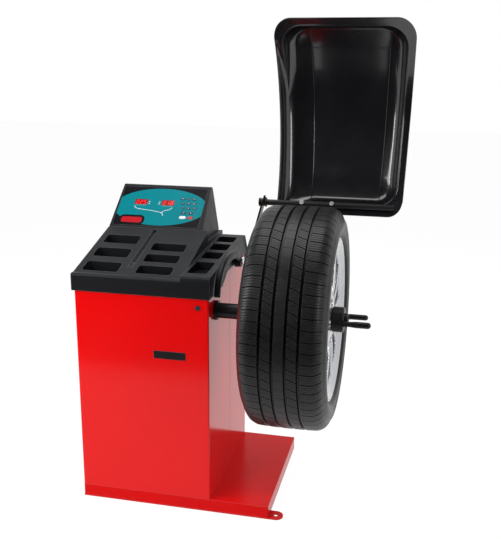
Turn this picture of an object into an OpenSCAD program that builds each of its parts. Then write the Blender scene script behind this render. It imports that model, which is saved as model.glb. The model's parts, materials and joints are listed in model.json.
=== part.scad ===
// Floor-standing wheel balancer with its safety hood raised and a car wheel clamped on
// the balancing shaft. Built from the front left corner of the base: X along the
// shaft, Y to the back, Z up. on_floor() then moves the origin to the middle of the base.

/* [Cabinet] */
// Width of the base plate
base_w = 590; // [560:1:680]
// Depth of the base plate and of the cabinet
base_d = 466; // [440:1:560]
// Height of the base pan
base_h = 40; // [30:1:60]
// Thickness of the base plate
plate_t = 4; // [3:0.5:6]
// Width of the cabinet
cab_w = 410; // [380:1:430]
// Height at which the tray skirt starts
skirt_z = 674; // [660:1:690]
// Thickness of the cabinet sheet
sheet = 2; // [1.5:0.5:3]
// Distance from the cabinet front to the seam between the two covers
seam_y = 244; // [200:1:280]
// Gap at the cover seam
seam_gap = 1.5; // [1:0.5:3]

/* [Shaft and wheel] */
// Clearance from the drive pulley's rim to the cabinet front
pulley_clear = 10; // [7:1:24]
// Shaft axis above the floor
shaft_z = 620; // [600:1:626]
// Diameter of the shaft journals and of the threaded end
journal_d = 40; // [36:1:42]
// Diameter of the plain shaft between cabinet and flange
shaft_d = 45; // [44:1:50]
// Distance of the wheel mounting face from the cabinet side
flange_out = 294; // [288:1:320]
// Outer diameter of the tyre
tyre_d = 634; // [600:1:650]
// Width of the tyre at its widest
tyre_w = 235; // [205:1:245]
// Rim diameter over the bead seats
rim_d = 432; // [406:1:440]
// Distance from the mounting face back to the wheel's middle plane
wheel_inset = 48; // [40:1:55]
// Centre bore of the wheel
wheel_bore = 66.6; // [60:0.1:72]
// Diameter of the quick nut
nut_d = 72; // [64:1:90]

/* [Hood] */
// Hood pivot behind the cabinet's back
pivot_back = 24; // [22:1:40]
// Hood pivot above the floor
pivot_z = 873; // [860:1:900]
// Inner radius of the hood's curved rim
hood_r = 482; // [482:1:500]
// Depth of the hood's tub behind its rim
tub_depth = 66; // [40:1:80]
// Width of the hood over its rim
hood_w = 410; // [380:1:460]
// Wall thickness of the hood
hood_t = 4; // [3:0.5:5]
// Lower left corner of the hood, from the cabinet side
hood_out = 97; // [94:1:105]
// How much further out each side of the hood reaches at its top
hood_flare = 18.5; // [0:0.5:24]
// Diameter of the hood tube
tube_d = 20; // [18:1:24]

/* [Tray and console] */
// Wall thickness of the tray and console mouldings
wall = 3; // [2.5:0.5:4]
// Overhang of the tray past the cabinet
lip = 6; // [5:0.5:8]
// Slope of the tray deck
deck_slope = 16.2; // [14:0.1:17]
// Slope of the console face
panel_slope = 39; // [36:0.5:42]
// Width of the console at its foot
console_w = 312; // [306:1:318]
// Depth of the weight pockets at their front edge
pocket_depth = 20; // [15:1:24]
// Width of the display panel
panel_w = 288; // [280:1:292]
// Height of the display panel along its slope
panel_h = 166; // [164:1:168]
// Travel of a key
key_travel = 0.7; // [0.4:0.1:0.9]

/* [Gauge] */
// Diameter of the distance gauge rod
rod_d = 16; // [14:1:18]
// Gauge rod behind the cabinet front
rod_y = 300; // [290:1:310]
// Gauge rod above the floor
rod_z = 718; // [712:1:720]
// Reach of the gauge arm, from rod to tip
arm_reach = 266; // [240:1:280]
// Gap between the tray's side and the parked gauge arm
arm_gap = 2.2; // [2.2:0.2:6]

/* [Drive] */
// Pitch radius of the shaft pulley
pulley_r = 66; // [56:1:70]
// Pitch radius of the motor pulley
motor_pulley_r = 20; // [16:1:26]
// Motor axis behind the shaft axis
motor_back = 139; // [132:1:150]
// Motor axis below the shaft axis
motor_drop = 240; // [200:1:260]

/* [Hidden] */
$fn = 64;

fit = 0.05;      // radial clearance of a running fit
gap = 0.3;       // clearance between pieces that only seat
eps = 1;         // how far a cut runs past a face

shaft_y = pulley_r + pulley_clear;
pivot_y = base_d + pivot_back;
ring_r = shaft_d / 2 + 6.5;
flange_x = cab_w + flange_out;
wheel_x = flange_x - wheel_inset;
shaft_start = 112;
shaft_end = flange_x + 96;
shoulder_x = flange_x - 44;
thread_cut = 1.2;
housing_x0 = 168;
housing_x1 = 388;
bearing_r = 40;
bearing_w = 18;
housing_r = 48;
column_x0 = 172;
column_x1 = 332;
column_y0 = shaft_y - 60;
column_y1 = shaft_y + 60;
sensor_h = 10;
foot_h = 12;
foot_z = shaft_z - housing_r - 2;
column_top = foot_z - sensor_h;
belt_x0 = 132;
belt_w = 16;
belt_t = 3;
encoder_r = 54;
motor_y = shaft_y + motor_back;
motor_z = shaft_z - motor_drop;
motor_r = 52;
bracket_x = 184;
bracket_t = 6;
hood_x0 = cab_w + hood_out;
hood_x1 = hood_x0 + hood_w;
hood_cy = pivot_y - 394;
hood_cz = pivot_z + 253;
hood_a0 = 54;
hood_a1 = 133.5;
tub_a0 = 58.6;
tub_a1 = 130.9;
hood_low = hood_cz - (hood_r + hood_t) * cos(hood_a0);
hood_high = hood_cz - hood_r * cos(hood_a1);
tub_x0 = hood_x0 + 20 - hood_flare / 2;
tub_x1 = hood_x1 - 20 + hood_flare / 2;
crease_in = 88;
lean = 15;
deck_y0 = 14;
deck_z0 = skirt_z + 52;
crease_y = 292;
crease_z = deck_z0 + (crease_y - deck_y0) * tan(deck_slope);
shelf_z = crease_z - 32;
low_slope = 4.2;
low_z0 = skirt_z + 64;
step_x = cab_w - 83;
tray_x1 = cab_w + lip - 1;
arm_x1 = tray_x1 + arm_gap + 18;
tray_back = base_d + 4;
low_back = base_d - 35;
column_pockets = 3;
left_x = 14;
left_w = 112;
mid_x = 180;
mid_w = 108;
low_x = step_x + 9;
low_w = 60;
panel_x0 = 2;
panel_v0 = 9;
recess = 2.5;
board_w0 = -9;
key_pitch = 19.8;
key_col = 214;
key_row = 130;
ridge_z = crease_z + 116;
ridge_y = crease_y + 116 / tan(panel_slope);
console_z = shelf_z + gap;
screw_z = [70, 310, 550];
support_bolt_x = [cab_w - 100, cab_w - 40];
support_bolt_z = [605, 665];
inlet_x = 96;
inlet_z = 160;
floor_x = base_w / 2;
floor_y = base_d / 2;

function deck_z(y) = deck_z0 + (y - deck_y0) * tan(deck_slope);
function low_z(y) = low_z0 + y * tan(low_slope);
function arc(cx, cy, r, a0, a1, n) =
    [for (i = [0:n]) let(a = a0 + (a1 - a0) * i / n) [cx + r * cos(a), cy + r * sin(a)]];

// Moves the origin from the front left corner to the middle of the base.
module on_floor() { translate([-floor_x, -floor_y, 0]) children(); }

// A box given by its lowest corner and its size.
module box(x, y, z, w, d, h) { translate([x, y, z]) cube([w, d, h]); }

// A cylinder along X.
module rod_x(x0, x1, y, z, r) {
    translate([x0, y, z]) rotate([0, 90, 0]) cylinder(r = r, h = x1 - x0);
}

// A cylinder along Y.
module rod_y(y0, y1, x, z, r) {
    translate([x, y0, z]) rotate([-90, 0, 0]) cylinder(r = r, h = y1 - y0);
}

// A ring along X.
module ring_x(x0, x1, y, z, r, hole) {
    difference() {
        rod_x(x0, x1, y, z, r);
        rod_x(x0 - eps, x1 + eps, y, z, hole);
    }
}

// A solid of revolution about the shaft axis, from [radius, x] points.
module spin(points) {
    translate([0, shaft_y, shaft_z]) rotate([0, 90, 0]) rotate_extrude($fn = 96)
        polygon(points);
}

// A YZ outline drawn out along X.
module side(x0, x1, points) {
    translate([x0, 0, 0]) rotate([90, 0, 90]) linear_extrude(x1 - x0) polygon(points);
}

// A rectangle with round corners, from its lowest corner.
module rounded(w, d, r) {
    translate([r, 0]) square([w - 2 * r, d]);
    translate([0, r]) square([w, d - 2 * r]);
    for (x = [r, w - r], y = [r, d - r]) translate([x, y]) circle(r = r, $fn = 32);
}

// Puts local X, up-slope and outward on the console face.
module on_panel() {
    translate([0, crease_y, crease_z]) rotate([panel_slope, 0, 0]) children();
}

/* ---- Base and cabinet ---- */

module base_plate() {
    lug_r = 22;
    hole_r = 6.5;
    color("darkred") on_floor() difference() {
        union() {
            box(0, 0, 0, base_w, base_d, plate_t);
            box(base_w - 40, 0, 0, 60, 2 * lug_r, plate_t);
            translate([base_w + 20, lug_r, 0]) cylinder(r = lug_r, h = plate_t);
            for (x = [60, base_w - 60]) {
                box(x - lug_r, base_d - 10, 0, 2 * lug_r, 30, plate_t);
                translate([x, base_d + 20, 0]) cylinder(r = lug_r, h = plate_t);
            }
        }
        translate([base_w + 20, lug_r, -eps]) cylinder(r = hole_r, h = plate_t + 2 * eps);
        for (x = [60, base_w - 60])
            translate([x, base_d + 20, -eps]) cylinder(r = hole_r, h = plate_t + 2 * eps);
    }
}

module base_pan() {
    inner = base_h - plate_t - sheet;
    color("red") on_floor() difference() {
        translate([0, 0, plate_t]) linear_extrude(base_h - plate_t)
            rounded(base_w, base_d, 4);
        box(sheet, sheet, plate_t - eps, base_w - 2 * sheet, base_d - 2 * sheet,
            inner + eps);
    }
}

// Half of the cabinet shell, between two depths.
module shell_half(y0, y1) {
    top = skirt_z + 37;
    intersection() {
        difference() {
            translate([0, 0, base_h]) linear_extrude(top - base_h)
                rounded(cab_w, base_d, 5);
            translate([sheet, sheet, base_h - eps]) linear_extrude(top - base_h + 2 * eps)
                rounded(cab_w - 2 * sheet, base_d - 2 * sheet, 3);
        }
        box(-eps, y0, base_h - eps, cab_w + 2 * eps, y1 - y0, top);
    }
}

module front_cover() {
    color("red") on_floor() difference() {
        shell_half(-eps, seam_y);
        rod_x(cab_w - 20, cab_w + 20, shaft_y, shaft_z, shaft_d / 2 + 4);
        rod_y(-eps, 20, cab_w - 32, 646, 7);
    }
}

module rear_cover() {
    vent_rows = 8;
    color("red") on_floor() difference() {
        shell_half(seam_y + seam_gap, base_d + eps);
        for (i = [0:vent_rows - 1])
            box(cab_w - 160, base_d - 20, 380 + i * 14, 100, 40, 6);
        box(inlet_x - 14, base_d - 20, inlet_z - 25, 28, 40, 62);
        rod_x(cab_w - 20, cab_w + 20, rod_y, rod_z, rod_d / 2 + 4 + gap);
        for (x = [24, cab_w - 24], z = screw_z)
            rod_y(base_d - 20, base_d + 20, x, z, 2.2);
        for (x = support_bolt_x, z = support_bolt_z)
            rod_y(base_d - 20, base_d + 20, x, z, 4.2);
    }
}

module cover_screws() {
    color("silver") on_floor() for (x = [24, cab_w - 24], z = screw_z) {
        rod_y(base_d - 8, base_d + 0.1, x, z, 2.1);
        rod_y(base_d + 0.05, base_d + 2.6, x, z, 4.5);
    }
}

module front_plug() {
    color("black") on_floor() {
        rod_y(-1.5, -0.05, cab_w - 32, 646, 8);
        rod_y(-0.1, 6, cab_w - 32, 646, 6.9);
    }
}

module badge_plate() {
    color("black") on_floor() translate([242, -0.05, 483]) rotate([90, 0, 0])
        linear_extrude(1.2) rounded(98, 24, 3);
}

module spindle_column() {
    t = 4;
    color("dimgray") on_floor() {
        difference() {
            box(column_x0, column_y0, base_h, column_x1 - column_x0,
                column_y1 - column_y0, column_top - base_h);
            box(column_x0 + t, column_y0 + t, base_h + 6, column_x1 - column_x0 - 2 * t,
                column_y1 - column_y0 - 2 * t, column_top - base_h - 14);
            box(column_x0 + 40, column_y0 - eps, base_h + 120, 80, t + 2 * eps, 220);
        }
    }
}

module spindle_housing() {
    seat = bearing_r + 0.02;
    color("slategray") on_floor() difference() {
        union() {
            rod_x(housing_x0, housing_x1, shaft_y, shaft_z, housing_r);
            for (x = [housing_x0 + 14, housing_x1 - 96]) {
                box(x, shaft_y - 58, foot_z, 40, 116, foot_h);
                box(x + 8, shaft_y - 24, foot_z + 2, 24, 48, 30);
            }
        }
        rod_x(housing_x0 - eps, housing_x1 + eps, shaft_y, shaft_z, bearing_r - 6);
        for (x = [housing_x0 - eps, housing_x1 - bearing_w])
            rod_x(x, x + bearing_w + eps, shaft_y, shaft_z, seat);
        for (x = [housing_x0 + 34, housing_x1 - 76], y = [shaft_y - 51, shaft_y + 51])
            translate([x, y, foot_z - eps]) cylinder(r = 4.3, h = foot_h + 2 * eps);
    }
}

module m8_bolts() {
    color("silver") on_floor()
        for (x = [housing_x0 + 34, housing_x1 - 76], y = [shaft_y - 51, shaft_y + 51]) {
            translate([x, y, column_top + 0.05]) cylinder(r = 4.2, h = foot_h + sensor_h);
            translate([x, y, foot_z + foot_h + 0.05]) cylinder(r = 6.5, h = 6, $fn = 6);
        }
    color("silver") on_floor() for (x = support_bolt_x, z = support_bolt_z)
        translate([x, base_d + 6.1, z]) rotate([-90, 0, 0]) {
            translate([0, 0, -16]) cylinder(r = 4.1, h = 17);
            cylinder(r = 6.5, h = 6, $fn = 6);
        }
}

module shaft_bearings() {
    color("silver") on_floor()
        for (x = [housing_x0, housing_x1 - bearing_w])
            ring_x(x, x + bearing_w, shaft_y, shaft_z, bearing_r, journal_d / 2 + fit);
}

module force_sensors() {
    color("gold") on_floor() for (x = [housing_x0 + 34, housing_x1 - 76])
        translate([x, shaft_y, column_top + 0.05]) cylinder(r = 14, h = sensor_h - 0.1);
}

module shaft_ring() {
    color("black") on_floor()
        ring_x(cab_w + 0.05, cab_w + 9, shaft_y, shaft_z, ring_r, shaft_d / 2 + gap);
}

/* ---- Rotor and drive ---- */

module main_shaft() {
    r = journal_d / 2;
    R = shaft_d / 2;
    thread_r = r - thread_cut;
    color("silver") on_floor() spin([[0, shaft_start], [r - 1, shaft_start],
        [r, shaft_start + 1], [r, housing_x1 + 6], [R, housing_x1 + 6], [R, shoulder_x],
        [r, shoulder_x], [r, flange_x + 26], [thread_r, flange_x + 28],
        [thread_r, shaft_end - 3], [thread_r - 3, shaft_end], [0, shaft_end]]);
}

module shaft_pulley() {
    hub = belt_x0 - 3;
    far = belt_x0 + belt_w + 3;
    bore = journal_d / 2 + 0.02;
    run = pulley_r - belt_t / 2 - gap;
    color("gray") on_floor() spin([[bore, hub], [34, hub], [34, belt_x0 + 4],
        [run - 12, belt_x0 + 4], [run - 12, hub], [run + 3, hub], [run + 3, belt_x0 - 1],
        [run, belt_x0 - 1], [run, far - 2], [run + 3, far - 2], [run + 3, far],
        [run - 12, far], [run - 12, far - 7], [34, far - 7], [34, far], [bore, far]]);
}

module encoder_disc() {
    bore = journal_d / 2 + 0.02;
    color("white") on_floor() spin([[bore, 116], [30, 116], [30, 118],
        [encoder_r, 118], [encoder_r, 119.5], [30, 119.5], [30, 126], [bore, 126]]);
}

module encoder_sensor() {
    edge = shaft_z - encoder_r;
    foot = shaft_z - pulley_r - 22;
    color("green") on_floor() difference() {
        union() {
            box(108, shaft_y - 5, foot, 20, 16, edge + 8 - foot);
            box(127, shaft_y - 5, foot, column_x0 - 127.05, 16, 6);
        }
        box(116.5, shaft_y - 6, edge - 3, 4.5, 18, 20);
    }
}

module motor() {
    face = bracket_x + bracket_t;
    color("darkgray") on_floor() difference() {
        union() {
            rod_x(face + 0.05, face + 120, motor_y, motor_z, motor_r);
            rod_x(face - 5, face + 1, motor_y, motor_z, 20);
            for (a = [0:30:330])
                translate([face + 12, motor_y, motor_z]) rotate([a, 0, 0])
                    translate([0, -1.5, motor_r - 1]) cube([96, 3, 5]);
        }
        rod_x(face - 10, face + 48, motor_y, motor_z, 7 + fit);
    }
}

module motor_bracket() {
    w = 2 * motor_r + 8;
    color("dimgray") on_floor() difference() {
        union() {
            box(bracket_x, column_y1 + 0.05, motor_z - w / 2, bracket_t,
                motor_y - column_y1 + motor_r, w);
            box(bracket_x, column_y1 + 0.05, motor_z - w / 2, 120, bracket_t, w);
        }
        rod_x(bracket_x - eps, bracket_x + bracket_t + eps, motor_y, motor_z, 20.05);
    }
}

module motor_pulley() {
    run = motor_pulley_r - belt_t / 2 - gap;
    far = belt_x0 + belt_w;
    color("silver") on_floor() {
        ring_x(belt_x0 - 1, far + 1, motor_y, motor_z, run, 6);
        rod_x(belt_x0 - 3, bracket_x + 50, motor_y, motor_z, 7);
        for (x = [belt_x0 - 3, far + 1]) rod_x(x, x + 2, motor_y, motor_z, run + 3);
    }
}

// The belt's loop in its own plane, around both pulleys, grown by d.
module belt_loop(d) {
    run = norm([motor_back, motor_drop]);
    big = pulley_r + d;
    small = motor_pulley_r + d;
    lift = 90 - asin((big - small) / run);
    polygon(concat(arc(0, 0, big, lift, 360 - lift, 60),
        arc(run, 0, small, -lift, lift, 30)));
}

module drive_belt() {
    turn = atan2(-motor_drop, motor_back);
    color("black") on_floor() translate([belt_x0, shaft_y, shaft_z])
        rotate([90, 0, 90]) rotate([0, 0, turn]) linear_extrude(belt_w) difference() {
            belt_loop(belt_t / 2);
            belt_loop(-belt_t / 2);
        }
}

module backing_flange() {
    r = journal_d / 2 + 0.02;
    cup = wheel_bore / 2 + 8;
    color("dimgray") on_floor() spin([[r, shoulder_x + 0.05], [cup + 8, shoulder_x + 0.05],
        [cup + 10, flange_x - 16], [84, flange_x - 12], [85, flange_x - 11],
        [85, flange_x - 0.1], [cup, flange_x - 0.1], [cup, shoulder_x + 8],
        [r, shoulder_x + 8]]);
}

module centring_cone() {
    bore = journal_d / 2 + fit;
    big = wheel_bore / 2 + 5;
    color("silver") on_floor() spin([[bore, flange_x - 14], [big, flange_x - 14],
        [big, flange_x - 10], [wheel_bore / 2 - gap, flange_x], [24, flange_x + 23],
        [bore, flange_x + 23]]);
}

// A wire ring follows this rule from turn to turn, so the spring is one swept coil.
module cone_spring() {
    turns = 4;
    wire = 2;
    r = journal_d / 2 + 6;
    x0 = shoulder_x + 8 + wire + 0.3;
    x1 = flange_x - 14 - wire - 0.3;
    steps = turns * 20;
    sides = 8;
    points = [for (i = [0:steps], j = [0:sides - 1])
        let(a = 360 * turns * i / steps, b = 360 * j / sides, q = r + wire * cos(b))
        [q * cos(a), q * sin(a), x0 + (x1 - x0) * i / steps + wire * sin(b)]];
    skin = [for (i = [0:steps - 1], j = [0:sides - 1]) let(k = (j + 1) % sides)
        [i * sides + j, (i + 1) * sides + j, (i + 1) * sides + k, i * sides + k]];
    caps = [[for (j = [0:sides - 1]) j],
        [for (j = [0:sides - 1]) steps * sides + sides - 1 - j]];
    color("silver") on_floor() translate([0, shaft_y, shaft_z]) rotate([0, 90, 0])
        polyhedron(points, concat(skin, caps));
}

/* ---- Wheel and quick nut ---- */

module wheel_rim() {
    seat = rim_d / 2;
    lip_r = seat + 17;
    half = 95.5;
    t = 6;
    face = flange_x + 44;
    spokes = 10;
    lug_pcd = 112;
    barrel = [[lip_r, -half - 11], [lip_r, -half - 5], [seat, -half], [seat - 2, -70],
        [seat - 20, -50], [seat - 20, 38], [seat - 2, 64], [seat, half],
        [lip_r, half + 5], [lip_r, half + 11], [lip_r - t, half + 11], [seat - t - 2, half],
        [seat - t - 4, 62], [seat - t - 22, 36], [seat - t - 22, -52], [seat - t - 4, -72],
        [seat - t - 2, -half], [lip_r - t, -half - 11]];
    color("silver") on_floor() difference() {
        union() {
            spin([for (p = barrel) [p[0], wheel_x + p[1]]]);
            spin([[wheel_bore / 2, flange_x], [78, flange_x], [78, flange_x + 30],
                [66, face + 3], [54, face + 6], [wheel_bore / 2, face + 6]]);
            intersection() {
                spin([[60, flange_x + 16], [60, face + 2], [120, face + 8],
                    [seat - 3, wheel_x + half + 2], [seat - 3, wheel_x + half - 16],
                    [130, face - 12]]);
                union() for (i = [0:spokes - 1])
                    translate([flange_x - 40, shaft_y, shaft_z])
                        rotate([i * 360 / spokes, 0, 0])
                            translate([0, 40, -12]) cube([140, seat - 20, 24]);
            }
        }
        for (i = [0:4]) translate([flange_x - 5, shaft_y, shaft_z])
            rotate([i * 72 + 36, 0, 0]) translate([0, lug_pcd / 2, 0]) {
                rotate([0, 90, 0]) cylinder(r = 7, h = 70);
                translate([18, 0, 0]) rotate([0, 90, 0]) cylinder(r = 12, h = 70);
            }
        valve_place(-eps, 40) cylinder(r = 5.7, h = 40);
    }
}

// Local Z points in from the barrel wall, where the valve passes through it.
module valve_place(drop, angle) {
    translate([wheel_x + 68, shaft_y, shaft_z]) rotate([angle, 0, 0])
        translate([0, 0, rim_d / 2 + drop]) rotate([180, 0, 0]) children();
}

module tyre() {
    R = tyre_d / 2;
    seat = rim_d / 2 + gap;
    w = tyre_w / 2;
    groove_d = 8;
    half = [[seat, 80], [seat, 95], [seat + 17.5, 97.5], [seat + 22, 104],
        [seat + 34, w - 3], [seat + 48, w], [seat + 62, w - 2], [R - 22, w - 9],
        [R - 11, w - 17], [R - 5, w - 27], [R - 2, w - 36], [R - 0.6, w - 50], [R, 0]];
    inner = [[R - 15, 0], [R - 16, w - 34], [R - 24, w - 21], [seat + 48, w - 11],
        [seat + 26, w - 22], [seat + 12, 80]];
    ring = concat([for (p = half) [p[0], wheel_x + p[1]]],
        [for (i = [len(half) - 2:-1:0]) [half[i][0], wheel_x - half[i][1]]],
        [for (i = [len(inner) - 1:-1:0]) [inner[i][0], wheel_x - inner[i][1]]],
        [for (i = [1:len(inner) - 1]) [inner[i][0], wheel_x + inner[i][1]]]);
    color("black") on_floor() difference() {
        spin(ring);
        for (x = [-50, -17, 17, 50])
            ring_x(wheel_x + x - 4.5, wheel_x + x + 4.5, shaft_y, shaft_z, R + 10,
                R - groove_d);
    }
}

module valve() {
    color("black") on_floor() valve_place(2.2, 40) {
        cylinder(r = 8, h = 1.5);
        cylinder(r = 5.5, h = 20);
        cylinder(r = 4, h = 40);
    }
}

module nut_body() {
    r = nut_d / 2;
    x0 = flange_x + 44 + 6.3;
    bore = journal_d / 2 - thread_cut + fit;
    color("dimgray") on_floor() difference() {
        spin([[bore, x0], [r - 1, x0], [r, x0 + 2], [r, x0 + 31], [r - 3, x0 + 34],
            [bore, x0 + 34]]);
        nut_slot(gap);
        nut_grip(-1, 0.02);
    }
}

// The lever's slot in the nut, grown by d.
module nut_slot(d) {
    x0 = flange_x + 44 + 6.3;
    box(x0 + 18 - d, shaft_y - nut_d / 2 - 6, shaft_z - 7 - d, 30 + 2 * d, 14 + d,
        14 + 2 * d);
}

// The handle's plug in the nut, on the side given by way, grown by d.
module nut_grip(way, d) {
    x0 = flange_x + 44 + 6.3;
    rod_x(x0 + 18 - d, x0 + 40, shaft_y - way * 28, shaft_z, 6 + d);
}

module nut_handle() {
    x0 = flange_x + 44 + 6.3;
    color("black") on_floor() {
        nut_grip(-1, 0);
        rod_x(x0 + 34.05, x0 + 46, shaft_y + 28, shaft_z, 7.5);
        rod_x(x0 + 44, x0 + 90, shaft_y + 33, shaft_z, 8);
        translate([x0 + 45, shaft_y + 33, shaft_z]) sphere(r = 8, $fn = 32);
        translate([x0 + 90, shaft_y + 33, shaft_z]) sphere(r = 8, $fn = 32);
    }
}

module nut_lever() {
    x0 = flange_x + 44 + 6.3;
    pin_y = shaft_y - nut_d / 2 - 1;
    color("black") on_floor() difference() {
        union() {
            box(x0 + 18.5, pin_y - 5, shaft_z - 6.5, 28, 12, 13);
            translate([x0 + 24, pin_y + 1, shaft_z - 7]) cylinder(r = 2.4, h = 14);
            translate([x0 + 40, shaft_y - 37, shaft_z]) rotate([0, 90, 0])
                cylinder(r1 = 6.5, r2 = 9, h = 30);
            rod_x(x0 + 69.9, x0 + 102, shaft_y - 37, shaft_z, 9);
            translate([x0 + 102, shaft_y - 37, shaft_z]) sphere(r = 9, $fn = 32);
        }
        box(x0 + 14, pin_y + 7 - 3.4, shaft_z - 8, 17, 10, 16);
    }
}

/* ---- Tray and console ---- */

// Cuts a row of weight pockets: place, width, first edge, pitch, length and count.
module pocket_row(x, w, y0, pitch, len, count, low, grow, down) {
    for (i = [0:count - 1]) {
        y = y0 + i * pitch;
        mouth = low ? low_z(y) : deck_z(y);
        translate([x - grow, y - grow, mouth - pocket_depth - down])
            linear_extrude(90) rounded(w + 2 * grow, len + 2 * grow, 9 + grow);
    }
}

module pockets(grow, down) {
    pocket_row(left_x, left_w, 26, 81, 52, column_pockets, false, grow, down);
    pocket_row(mid_x, mid_w, 27, 65.5, 45, column_pockets, false, grow, down);
    pocket_row(low_x, low_w, 30, 0, 106, 1, true, grow, down);
    pocket_row(low_x, low_w, 168, 87, 66, 2, true, grow, down);
    pocket_row(low_x, low_w, 342, 0, 60, 1, true, grow, down);
}

// The tray's outer shape, with its skirt cut higher at the back.
module tray_block(inset) {
    low = inset > 0 ? skirt_z - 30 : skirt_z;
    b = inset > 0 ? skirt_z - 30 : skirt_z + 32;
    k = inset;
    side(k - lip, step_x + (inset > 0 ? -k : 0.1),
        [[k - lip, low], [k - lip, skirt_z + 46 - k], [k + 2 - lip, skirt_z + 50 - k],
        [k + 6 - lip, deck_z0 - k], [deck_y0, deck_z0 - k - 0.2],
        [crease_y - k, crease_z - k * 1.8], [crease_y - k, shelf_z - k],
        [tray_back - k, shelf_z - k], [tray_back - k, b], [200, b], [140, low + 3],
        [130, low]]);
    side(step_x + (inset > 0 ? -k - 0.1 : 0), tray_x1 - k,
        [[k - lip, low], [k - lip, low_z0 - 12 - k], [k + 2 - lip, low_z0 - 4 - k],
        [k + 7 - lip, low_z0 - k], [low_back - k, low_z(low_back) - k],
        [tray_back - 5 - k, low_z0 - 18], [tray_back - k, low_z0 - 25],
        [tray_back - k, b], [200, b], [140, low + 3], [130, low]]);
}

module tray_shape(grow) {
    intersection() {
        tray_block(0);
        pockets(grow, 2.2);
    }
}

module weight_tray() {
    color([0.2, 0.2, 0.22]) on_floor() difference() {
        union() {
            difference() {
                tray_block(0);
                tray_block(wall);
            }
            tray_shape(2.2);
            box(step_x - wall, crease_y, shelf_z - 60, wall, tray_back - crease_y - 3, 58);
        }
        pockets(0, 0);
        side(147, 163, [[40, deck_z(40) + 0.5], [crease_y - 9, deck_z(crease_y) + 9],
            [crease_y - 9, deck_z(crease_y) - 22]]);
        rod_x(step_x - 12, tray_x1 + 8, rod_y, rod_z, rod_d / 2 + 4 + gap);
    }
}

module console_shape(k) {
    draft = 0.09;
    back = base_d + 12 - k;
    foot = k > 0 ? console_z - 10 : console_z;
    top = ridge_z - k;
    intersection() {
        side(-lip, console_w, [[crease_y + gap + k, foot],
            [crease_y + gap + k, crease_z + gap - k * 0.4],
            [ridge_y + k * 0.4, top], [ridge_y + 12 - k, top],
            [ridge_y + 16 - k, top - 6], [back, console_z + 4], [back, foot]]);
        translate([0, base_d + 60, 0]) rotate([90, 0, 0]) linear_extrude(300)
            polygon([[k - lip, foot], [console_w - k, foot],
                [console_w - k - draft * (top - console_z), top + eps],
                [k - lip + 1.5, top + eps]]);
    }
}

module console_housing() {
    color([0.2, 0.2, 0.22]) on_floor() difference() {
        console_shape(0);
        difference() {
            console_shape(wall);
            on_panel() translate([-lip, -20, -recess - wall])
                cube([console_w, 240, 60]);
        }
        on_panel() {
            translate([panel_x0, panel_v0, -recess]) linear_extrude(20)
                rounded(panel_w, panel_h, 4);
            translate([50, 95, -20]) cube([50, 30, 40]);
            translate([142, 95, -20]) cube([50, 30, 40]);
            translate([key_col - 11, 36, -20]) cube([70, 106, 40]);
        }
    }
}

module panel_foil() {
    color("teal") on_floor() on_panel() difference() {
        translate([panel_x0 + gap, panel_v0 + gap, -recess + 0.05]) linear_extrude(2)
            rounded(panel_w - 2 * gap, panel_h - 2 * gap, 4);
        translate([53.5, 98.5, -20]) cube([43, 23, 40]);
        translate([145.5, 98.5, -20]) cube([43, 23, 40]);
        for (r = [0:2], c = [0:2]) key_hole(r, c);
        translate([0, 0, -8]) key_menu_shape(gap, 20);
        translate([0, 0, -8]) key_select_shape(gap, 20);
        translate([0, 0, -8]) key_start_shape(gap, 20);
        translate([0, 0, -8]) key_stop_shape(gap, 20);
    }
}

module display_modules() {
    color("red") on_floor() on_panel() for (x = [54, 146])
        translate([x, 99, board_w0 + 0.05]) cube([42, 22, 8]);
}

module display_board() {
    color("green") on_floor() on_panel() difference() {
        translate([30, 26, board_w0 - 1.6]) cube([246, 128, 1.6]);
        for (x = [36, 270], v = [32, 148])
            translate([x, v, board_w0 - 3]) cylinder(r = 1.6, h = 6);
    }
}

function key_x(r, c) = key_col + c * key_pitch + r * 4;
function key_v(r) = key_row - r * key_pitch;

// A key's outline, grown by d, with height h.
module pill(x, v, w, l, r, d, h) {
    translate([x - w / 2 - d, v - l / 2 - d, 0]) linear_extrude(h)
        rounded(w + 2 * d, l + 2 * d, r + d);
}

module key_hole(r, c) {
    translate([0, 0, -8]) pill(key_x(r, c), key_v(r), 11, 9, 2, gap, 20);
}

module key_menu_shape(d, h) { pill(key_x(3, 0) + 4, key_v(3), 16, 10, 3, d, h); }
module key_select_shape(d, h) { pill(key_x(3, 1) + 8, key_v(3), 16, 10, 3, d, h); }
module key_start_shape(d, h) { pill(key_x(3, 0) + 4, key_v(4), 22, 12, 5.9, d, h); }
module key_stop_shape(d, h) { pill(key_x(3, 1) + 10, key_v(4), 20, 12, 5.9, d, h); }

// Keys sit on switches on the board and stand a little proud of the foil.
module key_body() {
    on_floor() on_panel() translate([0, 0, board_w0 + key_travel + 0.25]) children();
}

key_h = -board_w0 - key_travel - 0.25 + 0.5;

module small_key(r, c) {
    color("midnightblue") key_body() pill(key_x(r, c), key_v(r), 11, 9, 2, 0, key_h);
}

module key_row1_left() { small_key(0, 0); }
module key_row1_middle() { small_key(0, 1); }
module key_row1_right() { small_key(0, 2); }
module key_row2_left() { small_key(1, 0); }
module key_row2_middle() { small_key(1, 1); }
module key_row2_right() { small_key(1, 2); }
module key_row3_left() { small_key(2, 0); }
module key_row3_middle() { small_key(2, 1); }
module key_row3_right() { small_key(2, 2); }
module key_menu() { color("navy") key_body() key_menu_shape(0, key_h); }
module key_select() { color("navy") key_body() key_select_shape(0, key_h); }
module key_start() { color("white") key_body() key_start_shape(0, key_h); }
module key_stop() { color("red") key_body() key_stop_shape(0, key_h); }

/* ---- Distance gauge ---- */

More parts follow.
